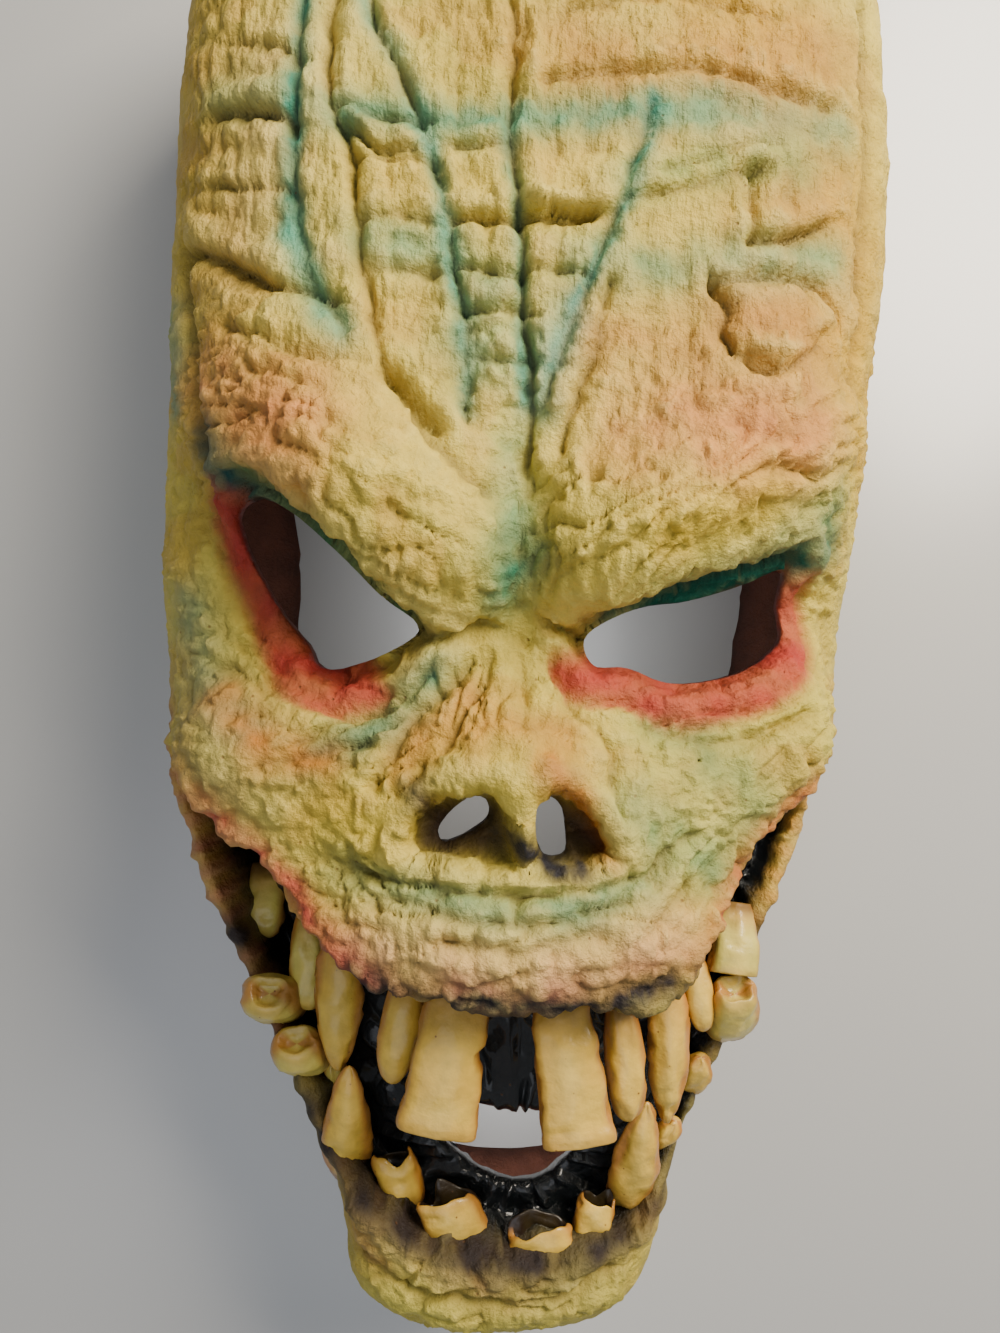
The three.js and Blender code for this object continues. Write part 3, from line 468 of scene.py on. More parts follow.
# A lip round the nose cavity, a bony bridge between the nostrils, a deeper hollow on each side
NOSE_BRIDGE = [(-3, -52), (-1.5, -64), (1, -76)]
BRIDGE_WIDTH, BRIDGE_RISE, HOLLOW_DEPTH = 4.0, 4.6, 5.0
relief += bell((nose_inset + 3.2) / 2.4) * (0.6 + 2.0 * noise(x, y, 5, 36))
bridge = bell(distance_to(NOSE_BRIDGE, bent_x, bent_y) / BRIDGE_WIDTH)
relief += BRIDGE_RISE * bridge * in_nose
relief -= HOLLOW_DEPTH * in_nose * (1 - bridge) * smooth((nose_inset - 1) / 4)
relief += 1.6 * in_nose * wobble(3.2, 37)

# The lip's ragged fringe, and the gums' curtains, drawn towards the throat
throat_x, throat_y = np.array(OPENINGS["throat"][:2]) * HALF_SIZE
towards = np.arctan2(y - throat_y, x - throat_x)
from_throat = np.hypot(x - throat_x, y - throat_y)
fringe = bell((mouth_inset + 3.5) / 3) * (1 - flank)
relief += fringe * (2.6 * noise(x, y, 4.5, 38) - 0.4)
CURTAIN_DEPTH = 3.4
curtain = noise(towards * 11, from_throat / 16, 1, 39)
relief += in_mouth * (CURTAIN_DEPTH * (curtain - 0.5) + 1.6 * wobble(5, 40))

# Ribs across the jaw's flaps at both sides of the grin
jaw_side = smooth((spread - 0.86) / 0.06) * smooth((-30 - y) / 14) * smooth((y + 150) / 25)
RIB_SPACING, RIB_DEPTH = 7.5, 0.7
rib_at = y + 0.35 * np.abs(x) + 3 * noise(x, y, 14, 41)
rib = 0.5 + 0.5 * np.cos(2 * np.pi * rib_at / RIB_SPACING)
ribbed = jaw_side * (1 - flank) * (RIB_DEPTH * rib - RIB_DEPTH / 2)
relief += ribbed * smooth((1.01 - spread) / 0.06)

relief *= smooth((1 - flank) / 0.25)

# The skin, the teeth's sockets. Each tooth is glued into a puckered collar of gum.

# Name, form, width, thickness, root and tip: shares of the half sizes, and height above the gum
TEETH = [
    ("upper_left_central_incisor", "incisor", 18.6, 9, (-0.155, -0.495, 7), (-0.215, -0.66, 21)),
    ("upper_right_central_incisor", "incisor", 17, 9, (0.085, -0.505, 7), (0.13, -0.668, 21)),
    ("upper_left_lateral_incisor", "peg", 11.5, 8, (-0.285, -0.49, 6), (-0.33, -0.617, 15)),
    ("upper_right_lateral_incisor", "peg", 10.5, 8, (0.238, -0.53, 6), (0.262, -0.662, 15)),
    ("upper_left_fang", "fang", 14, 9, (-0.465, -0.45, 5), (-0.482, -0.625, 14)),
    ("upper_right_fang", "fang", 12, 9, (0.362, -0.5, 5), (0.37, -0.682, 14)),
    ("upper_left_premolar", "peg", 10, 8, (-0.565, -0.435, 4), (-0.565, -0.553, 14)),
    ("upper_right_premolar", "peg", 8.5, 8, (0.43, -0.475, 4), (0.462, -0.567, 14)),
    ("upper_left_molar", "molar", 12.5, 9, (-0.71, -0.398, 4), (-0.705, -0.478, 13)),
    ("upper_right_molar", "incisor", 12, 9, (0.55, -0.425, 8), (0.53, -0.497, 16)),
    ("lower_left_fang", "fang", 15, 10, (-0.485, -0.79, 9), (-0.448, -0.617, 15)),
    ("lower_right_fang", "fang", 14, 9, (0.277, -0.82, 3), (0.315, -0.655, 12)),
    ("lower_left_incisor", "cup", 17, 9, (-0.14, -0.862, 7), (-0.21, -0.785, 9)),
    ("lower_left_lateral", "cup", 12.5, 9, (-0.31, -0.815, 5), (-0.35, -0.74, 7)),
    ("lower_right_incisor", "cup", 19, 9, (0.05, -0.88, 8), (0.045, -0.812, 9)),
    ("lower_right_lateral", "cup", 11, 8, (0.165, -0.86, 7), (0.206, -0.78, 8)),
    ("lower_left_premolar", "molar", 6.5, 6, (-0.5, -0.675, 2), (-0.509, -0.627, 9)),
    ("lower_right_premolar", "molar", 7, 6, (0.36, -0.735, 3), (0.405, -0.695, 11)),
    ("lower_left_molar", "ring", 16, 12, (-0.585, -0.637, 10), (-0.59, -0.585, 24)),
    ("lower_right_molar", "molar", 8, 7, (0.46, -0.665, 3), (0.469, -0.612, 11)),
    ("lower_left_back_molar", "ring", 17.5, 13, (-0.66, -0.563, 12), (-0.655, -0.52, 29)),
    ("lower_right_back_molar", "ring", 15, 12, (0.545, -0.585, 8), (0.535, -0.51, 20)),
]
COLLAR_SHARE, COLLAR_WIDTH = 0.55, 2.2  # its radius in tooth widths, and its thickness
for _, _, width, _, root, _ in TEETH:
    away = np.hypot(x - root[0] * HALF_WIDTH, y - root[1] * HALF_LENGTH)
    collar = bell((away - COLLAR_SHARE * width) / COLLAR_WIDTH)
    relief += in_mouth * (1.2 + 0.25 * root[2]) * collar

skin += normals_of(skin) * relief[..., None]
for away in outside.values():
    rolled = np.clip(1 - away / ROLLED_EDGE, 0, 1)
    skin[..., 2] -= ROLLED_EDGE * (1 - np.sqrt(1 - rolled**2))

# The skin, paint. Base coats of pale yellow-ochre rubber paint, then airbrushed: teal veins and
# bands over the forehead, green over the cheeks and muzzle, red round the eyes, orange on brows
# and nose, pink on the lips, and black lacquer over the gums. Over these lie painted shade under
# the brows, in the nose cavity and in the hollows and furrows, and a painted highlight on the
# raised relief.


def linear(hex_code):
    """An sRGB hex colour as linear light."""
    channels = np.array([int(hex_code[k:k + 2], 16) / 255 for k in (1, 3, 5)])
    return np.where(channels <= 0.04045, channels / 12.92, ((channels + 0.055) / 1.055) ** 2.4)


paint = np.empty(x.shape + (3,))
paint[:] = linear("#CBB864")


def coat(amount, hex_code):
    """Lays a colour over the paint, as strongly as amount says."""
    global paint
    paint = paint + np.clip(amount, 0, 1)[..., None] * (linear(hex_code) - paint)


coat(0.7 * noise(x, y, 34, 50), "#D8C774")
coat(0.5 * smooth((noise(x, y, 20, 51) - 0.5) * 4), "#C0AB58")
coat(0.35 * smooth((noise(x, y, 9, 52) - 0.55) * 5), "#B98E4C")

# Side walls: greener ochre beside the jaw, browner beside the forehead
coat(0.5 * smooth((spread - 0.93) / 0.05) * (1 - smooth((y + 20) / 60)), "#ACA266")
coat(0.4 * smooth((spread - 0.93) / 0.05) * smooth((y - 20) / 60), "#BD9C5B")

# Airbrush strokes: colour, strength, radius, route
STROKES = [
    # forehead: tan and ochre patches, then green bands, teal veins and the crown
    ("#E8CE90", 0.4, 16, [(-66, 128), (-68, 100), (-70, 84)]),
    ("#B08A48", 0.5, 16, [(-88, 150), (-88, 110), (-84, 70)]),
    ("#BC9440", 0.7, 24, [(44, 160), (66, 120), (84, 84), (88, 40)]),
    ("#DABB66", 0.5, 12, [(-30, 96), (-30, 76), (-28, 62)]),
    ("#DABC66", 0.5, 14, [(8, 100), (34, 84), (40, 62)]),
    ("#B98A4E", 0.6, 16, [(12, 131), (26, 118), (50, 128), (74, 132)]),
    ("#C08E52", 0.55, 18, [(60, 110), (68, 92), (72, 78)]),
    ("#B5854B", 0.6, 10, [(58, 60), (66, 56)]),
    ("#8FA873", 0.6, 7, [(-80, 122), (-66, 119)]),
    ("#6A9673", 0.85, 6.5, [(-50, 112), (-34, 110), (-14, 108), (8, 110), (28, 111), (46, 112)]),
    ("#7C9E78", 0.6, 7.5, [(46, 112), (62, 110), (80, 112)]),
    ("#789C72", 0.7, 7.5, [(14, 71), (34, 70), (56, 73), (78, 77)]),
    ("#92A468", 0.6, 7.5, [(26, 92), (48, 97), (70, 100)]),
    ("#709C76", 0.65, 7, [(-40, 78), (-24, 75), (-8, 66)]),
    ("#478A72", 0.95, 3.4, [(-50, 200), (-56, 168), (-57.5, 141), (-58, 126), (-59.5, 111),
                            (-60, 96), (-59, 81)]),
    ("#5FA387", 0.8, 4.2, [(-59, 81), (-53.5, 68.5), (-49, 59), (-44, 52.5)]),
    ("#58987E", 0.75, 2.6, [(-24, 102), (-22, 92), (-20, 82), (-18.5, 68.5), (-15.5, 58),
                            (-14.5, 46), (-15, 34)]),
    ("#6DA88C", 0.6, 3.0, [(-44, 150), (-39, 136), (-31, 124), (-27, 112), (-24, 102)]),
    ("#498C74", 0.8, 2.3, [(-3, 113), (-3.5, 100), (-3, 84), (-1.5, 68), (-1, 50), (0, 38)]),
    ("#3F8874", 0.9, 2.4, [(33, 115), (30, 102.5), (26, 89), (19, 74), (11, 58), (6, 46)]),
    ("#52A595", 0.6, 5, [(11, 58), (5, 43), (3, 36)]),
    ("#6DAA8C", 0.45, 9, [(-14, 52), (-4, 46), (6, 52)]),
    ("#59A08C", 0.4, 6, [(-40, 200), (0, 196), (40, 190)]),
    # brows: orange, and pale ochre towards the bridge
    ("#D68A5F", 0.7, 13, [(-78, 44), (-64, 38), (-50, 34)]),
    ("#CE8258", 0.55, 10, [(-66, 26), (-54, 16)]),
    ("#CF8A5E", 0.6, 14, [(28, 28), (44, 26), (62, 34)]),
    ("#CB8458", 0.5, 11, [(42, 34), (58, 26)]),
    ("#B9804E", 0.5, 14, [(20, 52), (40, 48), (52, 58)]),
    ("#D9C26C", 0.6, 8, [(-38, 38), (-28, 24), (-16, 14)]),
    ("#C9B872", 0.7, 8, [(-50, 2), (-38, -8), (-24, -15)]),
    ("#C2B066", 0.5, 6, [(6, -4), (14, -12), (22, -13)]),
    ("#DDBF58", 0.55, 9, [(34, 4), (54, 10)]),
    # bridge and eye sockets: dark green, with painted shade under the brows
    ("#357A60", 0.85, 7.5, [(-3, 2), (-5, -8)]),
    ("#4A8C70", 0.5, 5.5, [(-4, 26), (-3, 10)]),
    ("#5C8F66", 0.5, 8, [(30, -10), (48, -4), (66, 6), (78, 14)]),
    # teal paint darkened into painted shade under the right brow's overhang
    ("#1F5C49", 1.0, 7.2, [(24, -19), (40, -15), (56, -9), (68, -3), (80, 5)]),
    ("#1F5C49", 0.8, 5.0, [(40, -16), (56, -11), (70, -4)]),
    # teal paint darkened into painted shade under the left brow's outer end, above the eye
    ("#1C4646", 1.0, 6.5, [(-80, 30), (-75, 20), (-69, 13)]),
    ("#1C4646", 0.8, 4.5, [(-76, 24), (-70, 15)]),
    # green paint darkened into painted shade along the left brow's underside, over the eye
    ("#3E6E4A", 0.85, 4.6, [(-67, 20), (-55, 9), (-43, -3), (-30, -14)]),
    ("#79A285", 0.6, 5, [(-68, 10), (-56, -2)]),
    ("#3D9088", 0.55, 5, [(-99, 70), (-96, 44)]),
    # cheeks and muzzle
    ("#5A8468", 0.75, 6.5, [(-22, -30), (-36, -42), (-54, -52)]),
    ("#76997A", 0.65, 8, [(-93, -12), (-86, -30), (-70, -44)]),
    ("#B5763E", 0.8, 6, [(-78, -36), (-64, -50), (-50, -52)]),
    ("#C08A50", 0.6, 5, [(-14, -36), (-26, -44)]),
    ("#A99A66", 0.6, 9, [(-96, -30), (-86, -50), (-70, -62)]),
    ("#809A68", 0.6, 9, [(34, -40), (50, -54), (58, -66)]),
    ("#6F9468", 0.7, 8, [(26, -62), (38, -72), (48, -80)]),
    ("#71926C", 0.8, 6.5, [(-42, -78), (-24, -84), (-4, -88), (14, -87), (28, -82)]),
    ("#D9BE5E", 0.6, 9, [(-48, -64), (-38, -72), (-30, -66)]),
    ("#C9C06A", 0.4, 9, [(60, -30), (76, -40), (78, -58)]),
    # nose
    ("#A8622F", 0.9, 3.4, [(5, -54), (12, -59), (17, -67), (20, -74)]),
    ("#B5743F", 0.5, 6, [(-30, -52), (-20, -46), (-4, -44), (10, -46)]),
    # painted shade in the left of the nose cavity
    ("#2B1D17", 0.95, 5.0, [(-26, -58), (-23, -64), (-20, -70)]),
    # lips, jaw and chin
    ("#DDBB86", 0.6, 8, [(-34, -96), (-10, -99), (14, -99), (34, -92)]),
    ("#CB8570", 0.75, 8, [(-42, -98), (-34, -106)]),
    ("#CC8A72", 0.7, 7, [(-14, -104), (-2, -108), (10, -104)]),
    ("#C9876E", 0.5, 8, [(24, -102), (34, -98)]),
    ("#B25548", 0.85, 4.5, [(-88, -58), (-75, -71), (-61, -82), (-50, -94), (-39, -103)]),
    ("#AD6440", 0.8, 4.5, [(77, -59), (66, -68), (57, -79), (49, -90), (42, -100)]),
    ("#7E4A52", 0.5, 10, [(-50, -170), (-30, -188), (-8, -198), (14, -198), (32, -184)]),
    ("#33201F", 1.0, 6.5, [(-55, -150), (-48, -171), (-32, -186), (-8, -194), (12, -195),
                           (28, -187), (40, -166)]),
    ("#2A2526", 1.0, 4.2, [(-12, -106), (4, -109), (18, -110), (34, -105)]),
    ("#2F2827", 0.7, 3.0, [(-42, -100), (-28, -105), (-14, -107)]),
    ("#B9B062", 0.6, 14, [(-40, -208), (-8, -216), (22, -206)]),
    ("#9A6E48", 0.6, 6, [(-48, -186), (-42, -196)]),
]
for layer, (hex_code, strength, radius, route) in enumerate(STROKES, 60):
    away = distance_to(route, x + 2.5 * wobble(7, layer), y)
    speckled = 0.7 + 0.6 * noise(x, y, 4.5, layer + 0.5)
    coat(strength * speckled * bell(away / radius), hex_code)

# Pinkish brown on the jaw's left flap, ochre brown on the right one, with ragged upper ends
flap_end = -40 + 34 * (noise(level_z, y, 15, 59) - 0.5)
flap = smooth((spread - 0.89) / 0.03) * smooth((flap_end - y) / 26) * smooth((y + 150) / 24)
flap = flap * (0.6 + 0.4 * rib)
coat(0.9 * flap * (x < 0), "#9A5A50")
coat(0.8 * flap * (x > 0), "#AE7A42")

# Painted shade in the hollows and furrows, a painted highlight on the raised relief, then the
# lids, lips and gums
shade_in_hollows = smooth(-relief / 2.2)
coat(0.28 * shade_in_hollows, "#75603A")
coat(0.45 * shade_in_furrows, "#54452E")
# painted highlight on the raised relief
coat(0.2 * smooth(relief / 1.6), "#E4D38E")
red_away = np.minimum(outside["left_eye"], outside["right_eye"])
coat(0.6 * lid * smooth((16 - red_away) / 8), "#A9634A")
coat(0.95 * lid * smooth((11.5 - red_away) / 4) * (0.6 + 0.5 * noise(x, y, 6, 57)), "#A6423A")
coat(0.5 * lid * smooth((4 - red_away) / 3), "#7C2422")
# painted shade in the nose cavity, darker further in and off the bridge
coat(0.92 * in_nose * (1 - bridge) * smooth((nose_inset - 0.5) / 4), "#2B1D17")
smudge_away = distance_to([(-2, -68), (2, -72), (7, -76), (12, -77)], bent_x, bent_y)
smudge = np.exp(-((smudge_away / 3.8) ** 4))
coat(0.95 * smudge * (0.6 + 0.7 * noise(x, y, 3, 58)), "#2D2B2E")
lip_stain = bell((mouth_inset + 1.0) / 3.2) * (0.4 + 0.9 * noise(x, y, 6, 55))
coat(0.95 * lip_stain * smooth((-92 - y) / 12), "#2E2725")
gum = smooth((in_mouth - 0.25) / 0.4)
coat(gum, "#0E1112")

# The pigments are purer than they look under soft light
PURITY = 1.16
LEAST_LIGHT = 0.003
grey = (paint @ np.array([0.2126, 0.7152, 0.0722]))[..., None]
paint = np.clip(grey + PURITY * (paint - grey), LEAST_LIGHT, 1)

# The skin, mesh. The fine outer sheet and a coarser inner one, a wall's thickness behind it,
# are joined along the rear rim. The openings are cut through both, as with a blade.

MILLIMETRE = 0.001
WALL = 2.6
MOST_TRIANGLES = 196000


def on_rim(rows, columns):
    rim = np.zeros((rows, columns), bool)
    rim[0], rim[-1], rim[:, 0], rim[:, -1] = True, True, True, True
    return rim


# The inner sheet lies deeper where the relief falls away nearby, so that the wall stays whole
deepest = relief.copy()
for shift in range(-INNER_STEP, INNER_STEP + 1):
    for axis in (0, 1):
        deepest = np.minimum(deepest, np.roll(relief, shift, axis=axis))
inner = skin[::INNER_STEP, ::INNER_STEP].copy()
inner_normal = normals_of(skin)[::INNER_STEP, ::INNER_STEP]
for _ in range(2):
    near = np.pad(inner_normal, ((1, 1), (1, 1), (0, 0)), mode="edge")
    inner_normal = (near[1:-1, 1:-1] + near[:-2, 1:-1] + near[2:, 1:-1]
                    + near[1:-1, :-2] + near[1:-1, 2:])
    inner_normal /= np.linalg.norm(inner_normal, axis=-1, keepdims=True)
inner_rim = on_rim(*inner.shape[:2])
inner_normal[inner_rim, 2] = 0
inner_normal /= np.linalg.norm(inner_normal, axis=-1, keepdims=True)
thickness = WALL + (relief - deepest)[::INNER_STEP, ::INNER_STEP]
inner -= inner_normal * thickness[..., None]
inner[inner_rim, 2] = 0
skin[on_rim(*skin.shape[:2]), 2] = 0

outer_id = np.arange(skin[..., 0].size).reshape(skin.shape[:2])
inner_id = outer_id.size + np.arange(inner[..., 0].size).reshape(inner.shape[:2])


def cells(ids):
    return np.stack([ids[:-1, :-1], ids[:-1, 1:], ids[1:, 1:], ids[1:, :-1]], -1).reshape(-1, 4)


def border(ids):
    """The grid's edge vertices, anticlockwise, the first one again at the end."""
    return np.concatenate([ids[0, :-1], ids[:-1, -1], ids[-1, :0:-1], ids[::-1, 0]])


faces = cells(outer_id).tolist() + cells(inner_id)[:, [0, 3, 2, 1]].tolist()
fine, coarse = border(outer_id), border(inner_id)
for k in range(len(coarse) - 1):
    run = fine[k * INNER_STEP:(k + 1) * INNER_STEP + 1]
    half = INNER_STEP // 2
    faces += [(b, a, coarse[k]) for a, b in zip(run[:half], run[1:])]
    faces.append((run[half], coarse[k], coarse[k + 1]))
    faces += [(b, a, coarse[k + 1]) for a, b in zip(run[half:], run[half + 1:])]
points = np.concatenate([skin.reshape(-1, 3), inner.reshape(-1, 3)]) * MILLIMETRE


def new_object(name, mesh):
    thing = bpy.data.objects.new(name, mesh)
    bpy.context.scene.collection.objects.link(thing)
    return thing


def mesh_of(name, positions, polygons):
    mesh = bpy.data.meshes.new(name)
    mesh.from_pydata(np.asarray(positions).tolist(), [], [tuple(map(int, p)) for p in polygons])
    mesh.shade_smooth()
    return mesh


def keep_numbers(mesh, name, values):
    """Stores a number or a colour at each vertex, for the material."""
    values = np.asarray(values, np.float32)
    if values.ndim == 2:
        values = np.hstack([values, np.ones((len(values), 1), np.float32)])
        layer = mesh.color_attributes.new(name, "FLOAT_COLOR", "POINT")
        layer.data.foreach_set("color", values.ravel())
    else:
        mesh.attributes.new(name, "FLOAT", "POINT").data.foreach_set("value", values)


skin_mesh = mesh_of("latex_skin", points, faces)
latex_skin = new_object("latex_skin", skin_mesh)

# The outer sheet is marked 1 and the inner one 2, and each mark outlasts the cuts
keep_numbers(skin_mesh, "sheet", np.repeat([1.0, 2.0], [outer_id.size, inner_id.size]))
CUT_FROM, CUT_TO = 40, 170  # the blades' heights above the table
for name, edge in opening_edges.items():
    count = len(edge)
    prism = [(px, py, CUT_FROM) for px, py in edge] + [(px, py, CUT_TO) for px, py in edge]
    sides = [(k, (k + 1) % count, (k + 1) % count + count, k + count) for k in range(count)]
    caps = [tuple(range(count))[::-1], tuple(range(count, 2 * count))]
    if np.cross(edge[1] - edge[0], edge[2] - edge[1]).sum() < 0:
        sides, caps = [s[::-1] for s in sides], [c[::-1] for c in caps]
    blade_mesh = mesh_of(f"{name}_blade", np.array(prism) * MILLIMETRE, sides + caps)
    blade = new_object(f"{name}_blade", blade_mesh)
    cutting = latex_skin.modifiers.new(name, "BOOLEAN")
    cutting.operation, cutting.solver, cutting.object = "DIFFERENCE", "MANIFOLD", blade
    bpy.context.view_layer.objects.active = latex_skin
    bpy.ops.object.modifier_apply(modifier=name)
    bpy.data.objects.remove(blade)
thinned = latex_skin.modifiers.new("thinned", "DECIMATE")
triangles = sum(len(face.vertices) - 2 for face in skin_mesh.polygons)
thinned.ratio = MOST_TRIANGLES / triangles
bpy.ops.object.modifier_apply(modifier="thinned")
skin_mesh.shade_smooth()

# Paint for every point of the cut mesh comes from the point nearest to it on its own side
sheet = np.zeros(len(skin_mesh.vertices), np.float32)
skin_mesh.attributes["sheet"].data.foreach_get("value", sheet)
skin_mesh.attributes.remove(skin_mesh.attributes["sheet"])
nearest = np.zeros(len(sheet), int)
for rows, chosen in [(outer_id.ravel(), sheet < 1.5), (inner_id.ravel(), sheet >= 1.5)]:
    sheet_points = KDTree(len(rows))
    for k in rows.tolist():
        sheet_points.insert(points[k], k)
    sheet_points.balance()
    for k in np.flatnonzero(chosen).tolist():
        nearest[k] = sheet_points.find(skin_mesh.vertices[k].co)[1]
bare = np.ones(inner[..., 0].size)
bare_latex = bare[:, None] * linear("#5E3526")
forehead = smooth((y - 20) / 30) * on_front
keep_numbers(skin_mesh, "paint", np.concatenate([paint.reshape(-1, 3), bare_latex])[nearest])
keep_numbers(skin_mesh, "gum", np.concatenate([gum.ravel(), 0 * bare])[nearest])
keep_numbers(skin_mesh, "forehead", np.concatenate([forehead.ravel(), 0 * bare])[nearest])

# The skin's finish: matt cast latex under thin rubber paint. It has a soft, dry sheen, with fine
# drag lines and pinholes from the mould, and only the black gums look wet.


def add_node(tree, kind, settings=None, links=None, output=0):
    """Adds a node; settings are its inputs or properties, links its inputs' sources."""
    node = tree.nodes.new("ShaderNode" + kind)
    for key, value in (settings or {}).items():
        if isinstance(key, int) or key in node.inputs:
            node.inputs[key].default_value = value
        else:
            setattr(node, key, value)
    for key, source in (links or {}).items():
        tree.links.new(source, node.inputs[key])
    return node.outputs[output]


def new_material(name, **settings):
    material = bpy.data.materials.new(name)
    material.use_nodes = True
    shader = material.node_tree.nodes["Principled BSDF"]
    for key, value in settings.items():
        shader.inputs[key.replace("_", " ")].default_value = value
    return material, material.node_tree, shader


def noise_texture(tree, where, scale, detail, roughness=0.5):
    settings = {"Scale": scale, "Detail": detail, "Roughness": roughness}
    return add_node(tree, "TexNoise", settings, {"Vector": where}, "Fac")


def ranged(tree, value, to_low, to_high, low=0.0, high=1.0):
    """A value from low to high, carried over to the range from to_low to to_high."""
    settings = {"From Min": low, "From Max": high, "To Min": to_low, "To Max": to_high}
    return add_node(tree, "MapRange", settings, {"Value": value})


def pinholes(tree, where, scale):
    """Distance to the nearest of scattered points, which lie about 1 / scale metres apart."""
    return add_node(tree, "TexVoronoi", {"Scale": scale}, {"Vector": where}, "Distance")


def multiplied(tree, colour, share):
    settings = {"data_type": "RGBA", "blend_type": "MULTIPLY", 0: 1.0}
    return add_node(tree, "Mix", settings, {6: colour, 7: share}, 2)


def bumped(tree, height, distance, strength, normal):
    settings = {"Distance": distance, "Strength": strength}
    return add_node(tree, "Bump", settings, {"Height": height, "Normal": normal})


latex, tree, shader = new_material("airbrushed_slush_cast_latex", Specular_IOR_Level=0.25,
                                   Coat_Roughness=0.12)
where = add_node(tree, "TexCoord", output="Object")
painted = add_node(tree, "VertexColor", {"layer_name": "paint"})
gum_share, forehead_share = [add_node(tree, "Attribute", {"attribute_name": name}, output="Fac")
                             for name in ("gum", "forehead")]
# mottling of the airbrush, patches about 6 mm across
mottle = ranged(tree, noise_texture(tree, where, 160, 6, 0.6), 0.82, 1.14, 0.3, 0.7)
mottled = multiplied(tree, painted, mottle)
# pinholes of the casting: under 1 mm wide, one every 8 mm or so, and half filled with paint
pore = ranged(tree, pinholes(tree, where, 130), 0.35, 1.0, 0.02, 0.07)
pored = add_node(tree, "Mix", {"data_type": "RGBA", 6: (*linear("#6E4A2A"), 1)},
                 {0: pore, 7: mottled}, 2)
tree.links.new(pored, shader.inputs["Base Color"])
# dull paint on the skin, and a glossy lacquer on the black gums
tree.links.new(ranged(tree, gum_share, 0.58, 0.17), shader.inputs["Roughness"])
tree.links.new(ranged(tree, gum_share, 0.0, 0.6), shader.inputs["Coat Weight"])
# drag lines run up the forehead, about 1 mm apart and 12 mm long
drag_space = add_node(tree, "Mapping", {"Scale": (1.0, 0.09, 1.0)}, {"Vector": where})
drag = noise_texture(tree, drag_space, 900, 3)
drag_bump = add_node(tree, "Bump", {"Distance": 0.0006},
                     {"Height": drag, "Strength": forehead_share})
# skin grain, about 1.6 mm and finer
grain_bump = bumped(tree, noise_texture(tree, where, 620, 5, 0.62), 0.0012, 1.0, drag_bump)
tree.links.new(bumped(tree, pore, 0.0004, 0.8, grain_bump), shader.inputs["Normal"])
skin_mesh.materials.clear()
skin_mesh.materials.append(latex)
skin_mesh.polygons.foreach_set("material_index", np.zeros(len(skin_mesh.polygons), np.int32))
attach(latex_skin, "root")
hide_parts("mask_skin")

# The teeth: twenty-two solid rubber castings, each glued into the gums by its root. They are
# ivory-yellow, stained brown at the roots and edges, with a painted highlight along the front,
# and brushed with gloss varnish.

# Outline of each kind from root to tip: distance along and girth, both as shares
TOOTH_FORMS = {
    "incisor": [(-0.14, 0.7), (0, 0.82), (0.2, 0.92), (0.5, 0.96), (0.8, 1.0), (0.96, 1.02),
                (0.995, 0.93), (1.0, 0.5), (1.0, 0.0)],
    "peg": [(-0.16, 0.6), (0, 0.75), (0.25, 0.95), (0.5, 1.0), (0.75, 0.9), (0.92, 0.64),
            (1.0, 0.3), (1.02, 0.0)],
    "fang": [(-0.14, 0.62), (0, 0.74), (0.2, 0.95), (0.45, 1.0), (0.7, 0.82), (0.9, 0.46),
             (1.0, 0.18), (1.02, 0.0)],
    "molar": [(-0.2, 0.7), (0, 0.86), (0.3, 1.0), (0.6, 1.0), (0.85, 0.8), (0.98, 0.4),
              (1.0, 0.0)],
    "cup": [(-0.2, 0.6), (0, 0.76), (0.3, 0.97), (0.7, 1.02), (0.94, 0.94), (1.0, 0.78),
            (0.9, 0.68), (0.6, 0.5), (0.45, 0.25), (0.42, 0.0)],
    "ring": [(-0.3, 0.6), (0, 0.85), (0.3, 1.0), (0.7, 1.0), (0.92, 0.88), (1.0, 0.68),
             (0.97, 0.5), (0.92, 0.36), (0.9, 0.2), (0.9, 0.0)],
}
TOOTH_SIDES = 36
TOOTH_STEPS = 5
TOOTH_SQUARENESS = {"incisor": 4.5, "peg": 1.8, "fang": 1.6, "molar": 2.4, "cup": 2.6, "ring": 2.2}
TOOTH_BOW = 0.06
FRONT_TOOTH_REACH = 0.5  # of the half width: teeth beyond it are greener
FACING_RIDGE, BROKEN_DEPTH = 0.7, 2.6

glazed, tree, shader = new_material("varnished_cast_rubber", Coat_Weight=0.3,
                                    Coat_Roughness=0.14, Specular_IOR_Level=0.35)
where = add_node(tree, "TexCoord", output="Object")
stained = add_node(tree, "VertexColor", {"layer_name": "paint"})
# stain in blotches of 4 mm, and brown pits of about 1 mm, one every 5 mm or so
blotch = noise_texture(tree, where, 260, 5, 0.55)
pit = ranged(tree, pinholes(tree, where, 210), 0.0, 1.0, 0.03, 0.08)
pitted = add_node(tree, "Mix", {"data_type": "RGBA", 6: (*linear("#7A4A20"), 1)},
                  {0: pit, 7: stained}, 2)
blotched = multiplied(tree, pitted, ranged(tree, blotch, 0.86, 1.1, 0.3, 0.7))
tree.links.new(blotched, shader.inputs["Base Color"])
tree.links.new(ranged(tree, blotch, 0.3, 0.46), shader.inputs["Roughness"])
dents = noise_texture(tree, where, 380, 3)
dented = add_node(tree, "Bump", {"Distance": 0.0005, "Strength": 0.7}, {"Height": dents})
tree.links.new(dented, shader.inputs["Normal"])


def open_curve(points, steps):
    rows = np.array(points, float)
    rows = np.vstack([2 * rows[0] - rows[1], rows, 2 * rows[-1] - rows[-2]])
    curve = catmull_rom(rows[:-3, None], rows[1:-2, None], rows[2:-1, None], rows[3:, None], steps)
    return np.vstack([curve, points[-1]])


